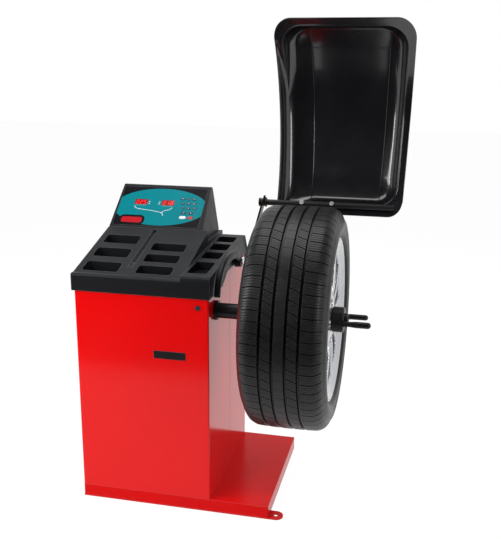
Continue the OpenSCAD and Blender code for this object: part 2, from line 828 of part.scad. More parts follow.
module gauge_guide() {
    color("dimgray") on_floor() difference() {
        union() {
            rod_x(150, tray_x1 + arm_gap - 0.5, rod_y, rod_z, rod_d / 2 + 4);
            rod_x(tray_x1 + 0.05, tray_x1 + arm_gap - 0.5, rod_y, rod_z, 23);
        }
        rod_x(140, tray_x1 + 20, rod_y, rod_z, rod_d / 2 + fit);
    }
}

module gauge_rod() {
    color("silver") on_floor() {
        rod_x(152, arm_x1 + 2, rod_y, rod_z, rod_d / 2);
        rod_x(arm_x1 + 2.3, arm_x1 + 5, rod_y, rod_z, 11);
        rod_x(arm_x1, arm_x1 + 3, rod_y, rod_z, 5);
    }
}

// The arm's middle line: a bow up and forward from the rod, then down to the tip.
module gauge_arm() {
    x0 = tray_x1 + arm_gap;
    h = 12.5;
    bow_y = rod_y - arm_reach * 0.62;
    bow_z = rod_z + 40;
    tip_y = rod_y - arm_reach;
    tip_z = rod_z - 40;
    color("black") on_floor() difference() {
        union() {
            rod_x(x0, arm_x1, rod_y, rod_z, 20);
            rod_x(x0, arm_x1, bow_y, bow_z - 4, h);
            rod_x(x0, arm_x1, tip_y, tip_z, 10);
            rod_x(x0, arm_x1, tip_y + 10, rod_z + 8, h - 2);
            side(x0, arm_x1, [[rod_y, rod_z + 20], [bow_y, bow_z - 4 + h],
                [bow_y, bow_z - 4 - h], [rod_y, rod_z - 16]]);
            side(x0, arm_x1, [[bow_y + 4, bow_z - 3 + h - 1], [tip_y + 5.3, rod_z + 17.2],
                [tip_y + 16.3, rod_z], [bow_y + 7, bow_z - 3 - h]]);
            side(x0, arm_x1, [[tip_y - 0.4, rod_z + 8], [tip_y - 9.9, tip_z],
                [tip_y + 9.9, tip_z], [tip_y + 20.4, rod_z + 8]]);
        }
        rod_x(x0 - eps, arm_x1 + eps, rod_y, rod_z, rod_d / 2 + fit);
    }
}

/* ---- Hood ---- */

module guard_support() {
    back = base_d + 0.05;
    plate_d = 44;
    t = 6;
    color("black") on_floor() difference() {
        union() {
            translate([cab_w + 53, pivot_y - plate_d / 2 + 0.2, pivot_z]) rotate([0, lean, 0])
                translate([-t / 2, 0, -250]) {
                    cube([t, plate_d, 262]);
                    translate([0, 10, 255]) cube([t, 12, 19]);
                }
            box(cab_w - 120, back, 585, 122, t, 100);
            box(cab_w - 4 - t, back + 1, 620, t + 2, plate_d - 2, 30);
        }
        rod_x(cab_w + 40, cab_w + 70, pivot_y, pivot_z, tube_d / 2 + 3.15);
        for (x = support_bolt_x, z = support_bolt_z)
            rod_y(back - eps, back + t + eps, x, z, 4.2);
    }
}

module pivot_bush() {
    r = tube_d / 2;
    x = cab_w + 53;
    color("tan") on_floor() difference() {
        union() {
            rod_x(x - 6, x + 8, pivot_y, pivot_z, r + 3);
            rod_x(x + 8, x + 11, pivot_y, pivot_z, r + 6);
        }
        rod_x(x - 10, x + 20, pivot_y, pivot_z, r + fit);
    }
}

module guard_tube() {
    r = tube_d / 2;
    x = cab_w + 53;
    color("black") on_floor() difference() {
        union() {
            rod_x(x - 14, hood_x1 - 26, pivot_y, pivot_z, r);
            rod_x(x - 14, x - 9, pivot_y, pivot_z, r + 4);
        }
        for (bx = bolt_x) bolt_line(bx) translate([0, 0, -30]) cylinder(r = 3.1, h = 60);
    }
}

bolt_x = [hood_x0 + 86, hood_x0 + 185];
hood_angle = atan2(pivot_y - hood_cy, hood_cz - pivot_z);

// Local Z points from the hood's centre line outward through the tube.
module bolt_line(x) {
    translate([x, pivot_y, pivot_z]) rotate([180 + hood_angle, 0, 0]) children();
}

// A sector of revolution about the hood's centre line, from [radius, x] points.
module sector(a0, a1, points) {
    translate([0, hood_cy, hood_cz]) rotate([0, 90, 0]) rotate([0, 0, a0])
        rotate_extrude(angle = a1 - a0, $fn = 128) polygon(points);
}

// The tub's section at inset k: two round shoulders and a back with two creases.
function tub_section(k, lip_r) =
    let(x0 = tub_x0 + k, x1 = tub_x1 - k, d = hood_r + tub_depth - k, s = 42 - k, n = 6)
    concat([[lip_r, x0], [hood_r + 6, x0]],
        [for (i = [0:n]) let(a = 90 * i / n)
            [d - 10 - s * (1 - sin(a)), x0 + s * (1 - cos(a))]],
        [[d, hood_x0 + crease_in + 20], [d, hood_x1 - crease_in + 8]],
        [for (i = [0:n]) let(a = 90 * i / n)
            [d - 10 - s * (1 - cos(a)), x1 - s * (1 - sin(a))]],
        [[hood_r + 6, x1], [lip_r, x1]]);

// How far each side has moved out at height z.
function flare_at(z) = hood_flare * (z - hood_low) / (hood_high - hood_low);

// The hood's outline from the front: wider at the top, square at the lower left.
module hood_outline() {
    r = 60;
    low_r = 46;
    a = [hood_x0, hood_low];
    b = [hood_x1 + flare_at(hood_low + low_r) - low_r, hood_low + low_r];
    c = [hood_x1 + flare_at(hood_high - r) - r, hood_high - r];
    d = [hood_x0 - flare_at(hood_high - r) + r, hood_high - r];
    right = atan2(c[1] - b[1], c[0] - b[0]) - acos((low_r - r) / norm(c - b));
    left = atan2(d[1] - a[1], d[0] - a[0]) + acos(-r / norm(d - a));
    polygon(concat([a], arc(b[0], b[1], low_r, -90, right, 12),
        arc(c[0], c[1], r, right, 90, 16), arc(d[0], d[1], r, 90, left, 16)));
}

// The tub's outline from the front, grown inward by k.
module tub_outline(k) {
    x0 = tub_x0 + k;
    x1 = tub_x1 - k;
    z0 = hood_low - 60;
    z1 = hood_high - 20 - k;
    r = 40 - k;
    translate([x0 + r, z0]) square([x1 - x0 - 2 * r, z1 - z0]);
    translate([x0, z0]) square([x1 - x0, z1 - z0 - r]);
    for (x = [x0 + r, x1 - r]) translate([x, z1 - r]) circle(r = r, $fn = 96);
}

// A front view outline drawn back through the hood.
module through_hood() {
    translate([0, hood_cy + hood_r + 200, 0]) rotate([90, 0, 0]) linear_extrude(460)
        children();
}

module guard_hood() {
    rim = [[hood_r, hood_x0 - 40], [hood_r + hood_t, hood_x0 - 40],
        [hood_r + hood_t, hood_x1 + 40], [hood_r, hood_x1 + 40]];
    end = hood_t / hood_r * 57.3;
    color([0.05, 0.05, 0.06]) on_floor() difference() {
        union() {
            intersection() {
                sector(hood_a0, hood_a1, rim);
                through_hood() hood_outline();
            }
            intersection() {
                sector(tub_a0, tub_a1, tub_section(0, hood_r + 1));
                through_hood() tub_outline(0);
            }
        }
        intersection() {
            sector(tub_a0 + end, tub_a1 - end, tub_section(hood_t, hood_r - 30));
            through_hood() tub_outline(hood_t);
        }
        for (bx = bolt_x) bolt_line(bx) cylinder(r = 3.2, h = 60);
    }
}

module guard_bolts() {
    r = tube_d / 2;
    color("silver") on_floor() for (bx = bolt_x) bolt_line(bx) {
        translate([0, 0, -r - 4.2]) cylinder(r = 7, h = 4);
        translate([0, 0, -r - 2]) cylinder(r = 3, h = 2 * r + 14);
    }
}

/* ---- Electrics ---- */

module power_box() {
    color("gray") on_floor() translate([235, 290, base_h + 0.05]) difference() {
        cube([140, 150, 90]);
        translate([2, 2, 2]) cube([136, 146, 90]);
        for (i = [0:5]) translate([-1, 20 + i * 20, 40]) cube([142, 8, 30]);
    }
}

module power_inlet() {
    y = base_d;
    color("black") on_floor() difference() {
        union() {
            box(inlet_x - 16, y + 0.05, inlet_z - 30, 32, 3, 72);
            box(inlet_x - 13, y - 26, inlet_z - 24, 26, 27, 60);
        }
        box(inlet_x - 11.5, y - 18, inlet_z - 20, 23, 30, 17);
        box(inlet_x - 11, y - 14, inlet_z + 8, 22, 30, 24);
    }
}

module power_pins() {
    color("gold") on_floor() for (x = [-7, 0, 7])
        box(inlet_x + x - 1, base_d - 17.95, inlet_z - 13.5, 2, 14, 4);
}

module power_switch() {
    color("red") on_floor() translate([inlet_x, base_d - 3, inlet_z + 20]) {
        rotate([-10, 0, 0]) translate([-9.5, -2, -9.75]) cube([19, 6.5, 19.5]);
        translate([-10.7, 0, 0]) rotate([0, 90, 0]) cylinder(r = 2, h = 21.4);
    }
}

base_plate();
base_pan();
front_cover();
rear_cover();
cover_screws();
front_plug();
badge_plate();
spindle_column();
spindle_housing();
m8_bolts();
shaft_bearings();
force_sensors();
shaft_ring();
motor();
motor_bracket();
power_box();
power_inlet();
power_pins();
power_switch();
drive_belt();
encoder_sensor();
weight_tray();
console_housing();
panel_foil();
display_modules();
display_board();
gauge_guide();
gauge_rod();
gauge_arm();
guard_support();
pivot_bush();
guard_tube();
guard_hood();
guard_bolts();
main_shaft();
shaft_pulley();
encoder_disc();
backing_flange();
centring_cone();
cone_spring();
motor_pulley();
wheel_rim();
tyre();
valve();
nut_body();
nut_handle();
nut_lever();
key_row1_left();
key_row1_middle();
key_row1_right();
key_row2_left();
key_row2_middle();
key_row2_right();
key_row3_left();
key_row3_middle();
key_row3_right();
key_menu();
key_select();
key_start();
key_stop();
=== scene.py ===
import bpy, bmesh, json, math
from mathutils import Vector, Matrix


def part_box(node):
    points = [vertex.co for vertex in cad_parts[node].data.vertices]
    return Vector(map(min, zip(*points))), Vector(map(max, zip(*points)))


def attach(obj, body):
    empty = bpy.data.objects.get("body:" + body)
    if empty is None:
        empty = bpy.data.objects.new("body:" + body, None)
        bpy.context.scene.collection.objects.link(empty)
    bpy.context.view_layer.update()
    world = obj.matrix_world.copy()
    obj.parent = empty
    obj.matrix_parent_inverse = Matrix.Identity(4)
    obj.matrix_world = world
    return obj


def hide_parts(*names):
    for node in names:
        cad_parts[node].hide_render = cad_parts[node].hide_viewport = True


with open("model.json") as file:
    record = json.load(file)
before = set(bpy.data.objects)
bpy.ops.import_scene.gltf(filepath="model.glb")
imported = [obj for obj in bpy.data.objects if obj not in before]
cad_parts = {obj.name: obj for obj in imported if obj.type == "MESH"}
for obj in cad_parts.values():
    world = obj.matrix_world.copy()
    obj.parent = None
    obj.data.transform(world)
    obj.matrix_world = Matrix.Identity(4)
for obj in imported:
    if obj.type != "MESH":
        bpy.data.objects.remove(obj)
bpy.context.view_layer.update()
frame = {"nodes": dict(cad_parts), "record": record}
scene = bpy.context.scene
nodes = frame["nodes"]
print("frame loaded")

# ---- Main figures, in metres, in the row frame ----

shaft = {"y": -0.157, "z": 0.620}
wheel = {"x": 0.361, "faceX": 0.409, "radius": 0.3169, "width": 0.235, "rimRadius": 0.216}
panel = {"x": -0.295, "y": 0.059, "z": 0.80677, "slope": math.radians(39),
         "recess": 0.0025}
hood = {"x0": 0.212, "x1": 0.622, "flare": 0.0184, "cy": -0.137, "cz": 1.126, "r": 0.482,
        "a0": 54, "a1": 133.5, "tubA0": 58.6, "flange": 0.020, "thick": 0.004,
        "tub": 0.052, "lip": 0.0014, "fold": 0.007, "creaseLeft": 0.108, "creaseRight": 0.080}

# ---- Shader helpers ----


def put(tree, kind, inputs=None, **props):
    node = tree.nodes.new(kind)
    for key, value in props.items():
        setattr(node, key, value)
    for key, value in (inputs or {}).items():
        socket = node.inputs[key]
        if isinstance(value, bpy.types.NodeSocket):
            tree.links.new(value, socket)
        else:
            socket.default_value = value
    return node


def maths(tree, op, a, b=0.0, clamp=False):
    return put(tree, "ShaderNodeMath", {0: a, 1: b}, operation=op, use_clamp=clamp).outputs[0]


def vmath(tree, op, a, b=(0, 0, 0)):
    node = put(tree, "ShaderNodeVectorMath", {0: a, 1: b}, operation=op)
    return node.outputs["Value" if op in ("LENGTH", "DOT_PRODUCT", "DISTANCE") else "Vector"]


def spread(tree, value, low, high, toLow, toHigh):
    node = put(tree, "ShaderNodeMapRange", {0: value, 1: low, 2: high, 3: toLow, 4: toHigh})
    return node.outputs[0]


def blendColour(tree, factor, a, b):
    node = put(tree, "ShaderNodeMix", {0: factor}, data_type="RGBA")
    for index, value in ((6, a), (7, b)):
        if isinstance(value, bpy.types.NodeSocket):
            tree.links.new(value, node.inputs[index])
        else:
            node.inputs[index].default_value = (*value[:3], 1)
    return node.outputs[2]


def newGroup(name, sockets):
    group = bpy.data.node_groups.new(name, "ShaderNodeTree")
    for side, label, kind, value in sockets:
        socket = group.interface.new_socket(name=label, in_out=side, socket_type=kind)
        if value is not None:
            socket.default_value = value
    return group, group.nodes.new("NodeGroupInput"), group.nodes.new("NodeGroupOutput")


floatKind, vectorKind = "NodeSocketFloat", "NodeSocketVector"


def detailGroup():
    # Fine grain, soft stains and long scratches, all from object coordinates
    group, source, sink = newGroup("surfaceDetail", [
        ("INPUT", "Vector", vectorKind, None), ("INPUT", "Grain", floatKind, 0.001),
        ("INPUT", "Stain", floatKind, 0.1), ("INPUT", "Stretch", vectorKind, (1, 1, 1)),
        ("OUTPUT", "Grain", floatKind, None), ("OUTPUT", "Stain", floatKind, None),
        ("OUTPUT", "Scratch", floatKind, None)])
    where = source.outputs["Vector"]
    pulled = vmath(group, "MULTIPLY", where, source.outputs["Stretch"])
    grain = put(group, "ShaderNodeTexNoise", {
        "Vector": pulled, "Scale": maths(group, "DIVIDE", 1.0, source.outputs["Grain"]),
        "Detail": 2.0})
    stain = put(group, "ShaderNodeTexNoise", {
        "Vector": where, "Scale": maths(group, "DIVIDE", 1.0, source.outputs["Stain"]),
        "Detail": 5.0, "Roughness": 0.6})
    turned = vmath(group, "MULTIPLY", where, (9.0, 9.0, 1.2))
    lines = put(group, "ShaderNodeTexNoise", {"Vector": turned, "Scale": 42.0, "Detail": 3.0,
                                              "Distortion": 0.6})
    sharp = spread(group, lines.outputs[0], 0.69, 0.74, 0.0, 1.0)
    group.links.new(grain.outputs[0], sink.inputs["Grain"])
    group.links.new(stain.outputs[0], sink.inputs["Stain"])
    group.links.new(sharp, sink.inputs["Scratch"])
    return group


def edgeGroup():
    # 1 on sharp corners, 0 on flats
    group, source, sink = newGroup("edgeMask", [
        ("INPUT", "Radius", floatKind, 0.002), ("OUTPUT", "Edge", floatKind, None),
        ("OUTPUT", "Normal", vectorKind, None)])
    soft = put(group, "ShaderNodeBevel", {"Radius": source.outputs["Radius"]}, samples=6)
    flat = put(group, "ShaderNodeNewGeometry")
    same = vmath(group, "DOT_PRODUCT", soft.outputs[0], flat.outputs["Normal"])
    mask = spread(group, same, 0.985, 0.86, 0.0, 1.0)
    group.links.new(mask, sink.inputs["Edge"])
    group.links.new(soft.outputs[0], sink.inputs["Normal"])
    return group


surfaceDetail = detailGroup()
edgeMask = edgeGroup()


def finish(name, colour, second=None, mottle=0.5, rough=(0.3, 0.4), metal=0.0, coat=0.0,
           coatRough=0.05, ior=1.5, grain=0.0015, bump=0.0, stain=0.12, stretch=(1, 1, 1),
           round_=0.0012, edgeWearAndSheen=None, edgeWearAndSheenAmount=0.35, scratches=0.0, attribute=None):
    # attribute: (name, colour at 1) mixes in a colour by a mesh attribute
    material = bpy.data.materials.new(name)
    material.use_nodes = True
    tree = material.node_tree
    shader = tree.nodes["Principled BSDF"]
    where = put(tree, "ShaderNodeTexCoord").outputs["Object"]
    detail = put(tree, "ShaderNodeGroup", node_tree=surfaceDetail)
    tree.links.new(where, detail.inputs["Vector"])
    detail.inputs["Grain"].default_value = grain
    detail.inputs["Stain"].default_value = stain
    detail.inputs["Stretch"].default_value = stretch
    edge = put(tree, "ShaderNodeGroup", {"Radius": round_}, node_tree=edgeMask)
    patch = spread(tree, detail.outputs["Stain"], 0.35, 0.65, 0.0, mottle)
    other = second or tuple(c * 0.8 for c in colour)
    out = blendColour(tree, patch, colour, other)
    if attribute:
        value = put(tree, "ShaderNodeAttribute", attribute_name=attribute[0]).outputs["Fac"]
        out = blendColour(tree, value, out, attribute[1])
    # lighter colour on sharp edges: edge wear, and on the moulding also a painted highlight along
    # the pocket rims
    if edgeWearAndSheen:
        strength = maths(tree, "MULTIPLY", edge.outputs["Edge"], maths(
            tree, "MULTIPLY", detail.outputs["Stain"], edgeWearAndSheenAmount * 2), clamp=True)
        out = blendColour(tree, strength, out, edgeWearAndSheen)
    if scratches:
        out = blendColour(tree, maths(tree, "MULTIPLY", detail.outputs["Scratch"], scratches),
                          out, edgeWearAndSheen or tuple(min(1, c * 1.6 + 0.02) for c in colour))
    tree.links.new(out, shader.inputs["Base Color"])
    tree.links.new(spread(tree, detail.outputs["Stain"], 0.3, 0.7, rough[0], rough[1]),
                   shader.inputs["Roughness"])
    normal = edge.outputs["Normal"]
    if bump:
        normal = put(tree, "ShaderNodeBump", {
            "Height": detail.outputs["Grain"], "Normal": normal, "Strength": 1.0,
            "Distance": bump}).outputs[0]
    tree.links.new(normal, shader.inputs["Normal"])
    shader.inputs["Metallic"].default_value = metal
    shader.inputs["IOR"].default_value = ior
    shader.inputs["Coat Weight"].default_value = coat
    shader.inputs["Coat Roughness"].default_value = coatRough
    material.diffuse_color = (*colour, 1)
    return material


# ---- Materials: one entry each; change a number to change the look ----

looks = {
    "redPaint": dict(colour=(0.80, 0.0, 0.0005), second=(0.76, 0.0003, 0.001), mottle=0.5,
                     rough=(0.13, 0.19), ior=1.36, grain=0.004, bump=0.00001,
                     edgeWearAndSheen=(0.5, 0.02, 0.02), edgeWearAndSheenAmount=0.3, stain=0.3),
    "basePaint": dict(colour=(0.72, 0.0005, 0.001), second=(0.64, 0.003, 0.004), mottle=0.6,
                      rough=(0.16, 0.26), ior=1.2, grain=0.003, bump=0.000015,
                      edgeWearAndSheen=(0.32, 0.28, 0.26), edgeWearAndSheenAmount=0.6, scratches=0.12),
    "darkPaint": dict(colour=(0.009, 0.009, 0.010), rough=(0.28, 0.42), ior=1.35,
                      grain=0.002, bump=0.00006, edgeWearAndSheen=(0.08, 0.08, 0.08)),
    # its pale edge colour and high amount paint the highlights on the pocket rims, along with
    # some wear
    "moulding": dict(colour=(0.0092, 0.0098, 0.0118), second=(0.0070, 0.0074, 0.0090),
                     mottle=0.6, rough=(0.38, 0.5), ior=1.26, grain=0.0011, bump=0.00006,
                     round_=0.0025, edgeWearAndSheen=(0.11, 0.115, 0.13), edgeWearAndSheenAmount=0.9),
    "hoodPlastic": dict(colour=(0.0045, 0.0048, 0.006), second=(0.007, 0.007, 0.009),
                        rough=(0.2, 0.28), ior=1.45, coat=1.0, coatRough=0.1, grain=0.02,
                        bump=0.00005, round_=0.003, edgeWearAndSheen=(0.05, 0.05, 0.055), edgeWearAndSheenAmount=0.25),
    "frameSteel": dict(colour=(0.10, 0.105, 0.11), rough=(0.35, 0.5), grain=0.002,
                       bump=0.00008, edgeWearAndSheen=(0.35, 0.34, 0.33), metal=0.2),
    "brightSteel": dict(colour=(0.62, 0.62, 0.63), second=(0.48, 0.48, 0.5), metal=1.0,
                        rough=(0.18, 0.32), grain=0.0006, stretch=(40, 1, 1), bump=0.00003,
                        edgeWearAndSheen=(0.75, 0.75, 0.75)),
    "zinc": dict(colour=(0.62, 0.62, 0.6), second=(0.45, 0.45, 0.46), metal=1.0,
                 rough=(0.25, 0.42), grain=0.002, bump=0.00004, stain=0.02),
    "shaftBlack": dict(colour=(0.007, 0.007, 0.0075), second=(0.013, 0.013, 0.013),
                       metal=0.2, rough=(0.25, 0.4), ior=1.35, grain=0.0008,
                       stretch=(30, 1, 1), bump=0.00004, edgeWearAndSheen=(0.3, 0.3, 0.3), edgeWearAndSheenAmount=0.6,
                       scratches=0.2),
    "wheelSilver": dict(colour=(0.50, 0.51, 0.53), second=(0.38, 0.39, 0.41), metal=0.85,
                        rough=(0.2, 0.32), coat=0.5, coatRough=0.06, grain=0.0009,
                        bump=0.00003, stain=0.05),
    # the depth attribute mixes in colour 0.002 on the groove floors: painted shade in the tread
    # grooves
    "tyreRubber": dict(colour=(0.0085, 0.0087, 0.0098), second=(0.0105, 0.0105, 0.0115),
                       mottle=0.8, rough=(0.34, 0.44), ior=1.36, grain=0.0016, bump=0.0001,
                       stain=0.04, edgeWearAndSheen=(0.03, 0.03, 0.03),
                       attribute=("depth", (0.002, 0.002, 0.002))),
    "rubber": dict(colour=(0.018, 0.018, 0.018), rough=(0.6, 0.75), grain=0.001,
                   bump=0.00008),
    "castAluminium": dict(colour=(0.42, 0.43, 0.44), second=(0.33, 0.33, 0.34), metal=0.9,
                          rough=(0.45, 0.6), grain=0.0014, bump=0.00016),
    "brass": dict(colour=(0.05, 0.04, 0.028), metal=0.7, rough=(0.4, 0.55), bump=0.00003),
    "ledRed": dict(colour=(0.35, 0.004, 0.008), second=(0.28, 0.002, 0.004), mottle=0.4,
                   rough=(0.1, 0.16), grain=0.0008, bump=0.00001),
    "board": dict(colour=(0.01, 0.12, 0.04), rough=(0.35, 0.45), grain=0.003, bump=0.00008),
    "keyBlue": dict(colour=(0.004, 0.012, 0.035), second=(0.006, 0.018, 0.045),
                    rough=(0.28, 0.36), grain=0.0007, bump=0.00002, round_=0.001),
    "keyWhite": dict(colour=(0.72, 0.76, 0.78), second=(0.62, 0.66, 0.68), rough=(0.3, 0.4),
                     grain=0.0007, bump=0.00002, round_=0.001),
    "keyRed": dict(colour=(0.42, 0.012, 0.02), second=(0.34, 0.008, 0.012),
                   rough=(0.3, 0.4), grain=0.0007, bump=0.00002, round_=0.001),
    "discPlastic": dict(colour=(0.02, 0.02, 0.02), rough=(0.3, 0.4), grain=0.002,
                        bump=0.00003),
    "printGrey": dict(colour=(0.55, 0.66, 0.68), second=(0.45, 0.57, 0.6), rough=(0.35, 0.45),
                      grain=0.0006, bump=0.00001, round_=0.0002),
}
slotLook = {
    "red_paint": "redPaint", "dark_paint": "darkPaint", "black_moulding": "moulding",
    "hood_plastic": "hoodPlastic", "frame_steel": "frameSteel",
    "bright_steel": "brightSteel", "zinc": "zinc", "shaft_black": "shaftBlack",
    "wheel_silver": "wheelSilver", "tyre_rubber": "tyreRubber", "rubber": "rubber",
    "cast_aluminium": "castAluminium", "brass": "brass", "led_red": "ledRed",
    "board": "board", "key_blue": "keyBlue", "key_white": "keyWhite", "key_red": "keyRed",
    "disc_plastic": "discPlastic"}
materials = {name: finish(name, **look) for name, look in looks.items()}

panelLook = {"teal": (0.0, 0.20, 0.235), "tealDark": (0.0, 0.17, 0.2),
             "black": (0.006, 0.006, 0.008), "pill": (0.42, 0.01, 0.018),
             "ovalCentre": (0.145, 0.0915), "ovalHalf": (0.158, 0.079),
             "pillBox": (0.022, 0.100, 0.017, 0.048)}


def panelPoint(tree):
    # Object coordinates turned into (along X, up the slope) on the console face
    where = put(tree, "ShaderNodeTexCoord").outputs["Object"]
    moved = vmath(tree, "SUBTRACT", where, (panel["x"], panel["y"], panel["z"]))
    turned = put(tree, "ShaderNodeVectorRotate", {"Vector": moved, "Angle": -panel["slope"]},
                 rotation_type="X_AXIS").outputs[0]
    parts = put(tree, "ShaderNodeSeparateXYZ", {0: turned}).outputs
    return where, parts[0], parts[1]


def foilMaterial():
    material = bpy.data.materials.new("panelFoil")
    material.use_nodes = True
    tree = material.node_tree
    shader = tree.nodes["Principled BSDF"]
    where, across, up = panelPoint(tree)
    centre, half = panelLook["ovalCentre"], panelLook["ovalHalf"]
    a = maths(tree, "POWER", maths(tree, "DIVIDE", maths(tree, "SUBTRACT", across, centre[0]),
                                   half[0]), 2.0)
    b = maths(tree, "POWER", maths(tree, "DIVIDE", maths(tree, "SUBTRACT", up, centre[1]),
                                   half[1]), 2.0)
    inside = spread(tree, maths(tree, "ADD", a, b), 0.99, 1.01, 1.0, 0.0)
    noise = put(tree, "ShaderNodeTexNoise", {"Vector": where, "Scale": 30.0, "Detail": 4.0})
    teal = blendColour(tree, noise.outputs[0], panelLook["teal"], panelLook["tealDark"])
    colour = blendColour(tree, inside, panelLook["black"], teal)
    # the dark field and the plain pill at the lower left
    x0, x1, v0, v1 = panelLook["pillBox"]
    for grow, tint in ((0.0045, panelLook["black"]), (-0.004, panelLook["pill"])):
        dx = maths(tree, "SUBTRACT", maths(tree, "ABSOLUTE", maths(
            tree, "SUBTRACT", across, (x0 + x1) / 2)), (x1 - x0) / 2 - 0.012)
        dv = maths(tree, "SUBTRACT", maths(tree, "ABSOLUTE", maths(
            tree, "SUBTRACT", up, (v0 + v1) / 2)), (v1 - v0) / 2 - 0.012)
        far = vmath(tree, "LENGTH", put(tree, "ShaderNodeCombineXYZ", {
            0: maths(tree, "MAXIMUM", dx, 0.0), 1: maths(tree, "MAXIMUM", dv, 0.0)}).outputs[0])
        near = spread(tree, far, 0.012 + grow, 0.0125 + grow, 1.0, 0.0)
        colour = blendColour(tree, near, colour, tint)
    tree.links.new(colour, shader.inputs["Base Color"])
    shader.inputs["IOR"].default_value = 1.16
    grain = put(tree, "ShaderNodeTexNoise", {"Vector": where, "Scale": 1400.0, "Detail": 1.0})
    tree.links.new(spread(tree, noise.outputs[0], 0.3, 0.7, 0.3, 0.42),
                   shader.inputs["Roughness"])
    tree.links.new(put(tree, "ShaderNodeBump", {
        "Height": grain.outputs[0], "Distance": 0.00003}).outputs[0], shader.inputs["Normal"])
    return material


def glowMaterial(name, colour, strength):
    material = finish(name, colour, rough=(0.2, 0.3))
    shader = material.node_tree.nodes["Principled BSDF"]
    shader.inputs["Emission Color"].default_value = (*colour, 1)
    shader.inputs["Emission Strength"].default_value = strength
    return material


materials["panelFoil"] = foilMaterial()
materials["ledGlow"] = glowMaterial("ledGlow", (1.0, 0.05, 0.04), 0.35)
slotLook["foil"] = "panelFoil"

for name, obj in nodes.items():
    slotName = next(p["material_slot"] for p in frame["record"]["subparts"]
                    if p["node"] == name)
    look = slotLook[slotName]
    if name in ("base_plate", "base_pan"):
        look = "basePaint"
    obj.data.materials.clear()
    obj.data.materials.append(materials[look])
print("materials made")

# ---- Mesh helpers ----


def newPiece(name, verts, faces, look, body, replaced=(), crease=35, merge=0.0):
    mesh = bpy.data.meshes.new(name)
    mesh.from_pydata([tuple(v) for v in verts], [], faces)
    obj = bpy.data.objects.new(name, mesh)
    scene.collection.objects.link(obj)
    mesh.materials.append(materials[look])
    bm = bmesh.new()
    bm.from_mesh(mesh)
    if merge:
        bmesh.ops.remove_doubles(bm, verts=bm.verts, dist=merge)
    bmesh.ops.recalc_face_normals(bm, faces=bm.faces)
    bm.to_mesh(mesh)
    bm.free()
    shade(obj, crease)
    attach(obj, body)
    if replaced:
        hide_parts(*replaced)
    return obj


def shade(obj, crease):
    obj.data.shade_smooth()
    obj.data.set_sharp_from_angle(angle=math.radians(crease))


def grid(rows, columns, closeRows=False, closeColumns=False):
    faces = []
    for i in range(rows if closeRows else rows - 1):
        for j in range(columns if closeColumns else columns - 1):
            a, b = i * columns + j, i * columns + (j + 1) % columns
            c, d = ((i + 1) % rows) * columns + (j + 1) % columns, ((i + 1) % rows) * columns + j
            faces.append((a, b, c, d))
    return faces


def aroundShaft(x, r, angle):
    return (x, shaft["y"] + r * math.cos(angle), shaft["z"] + r * math.sin(angle))


def smoothstep(a, b, v):
    t = min(1.0, max(0.0, (v - a) / (b - a)))
    return t * t * (3 - 2 * t)


# ---- Tyre ----

tread = {"pitches": 66, "grooveDepth": 0.0078, "cutDepth": 0.0012, "fadeDepth": 0.0025,
         "shoulderDepth": 0.0062, "sipeDepth": 0.0035, "wave": 0.010, "waves": 3}


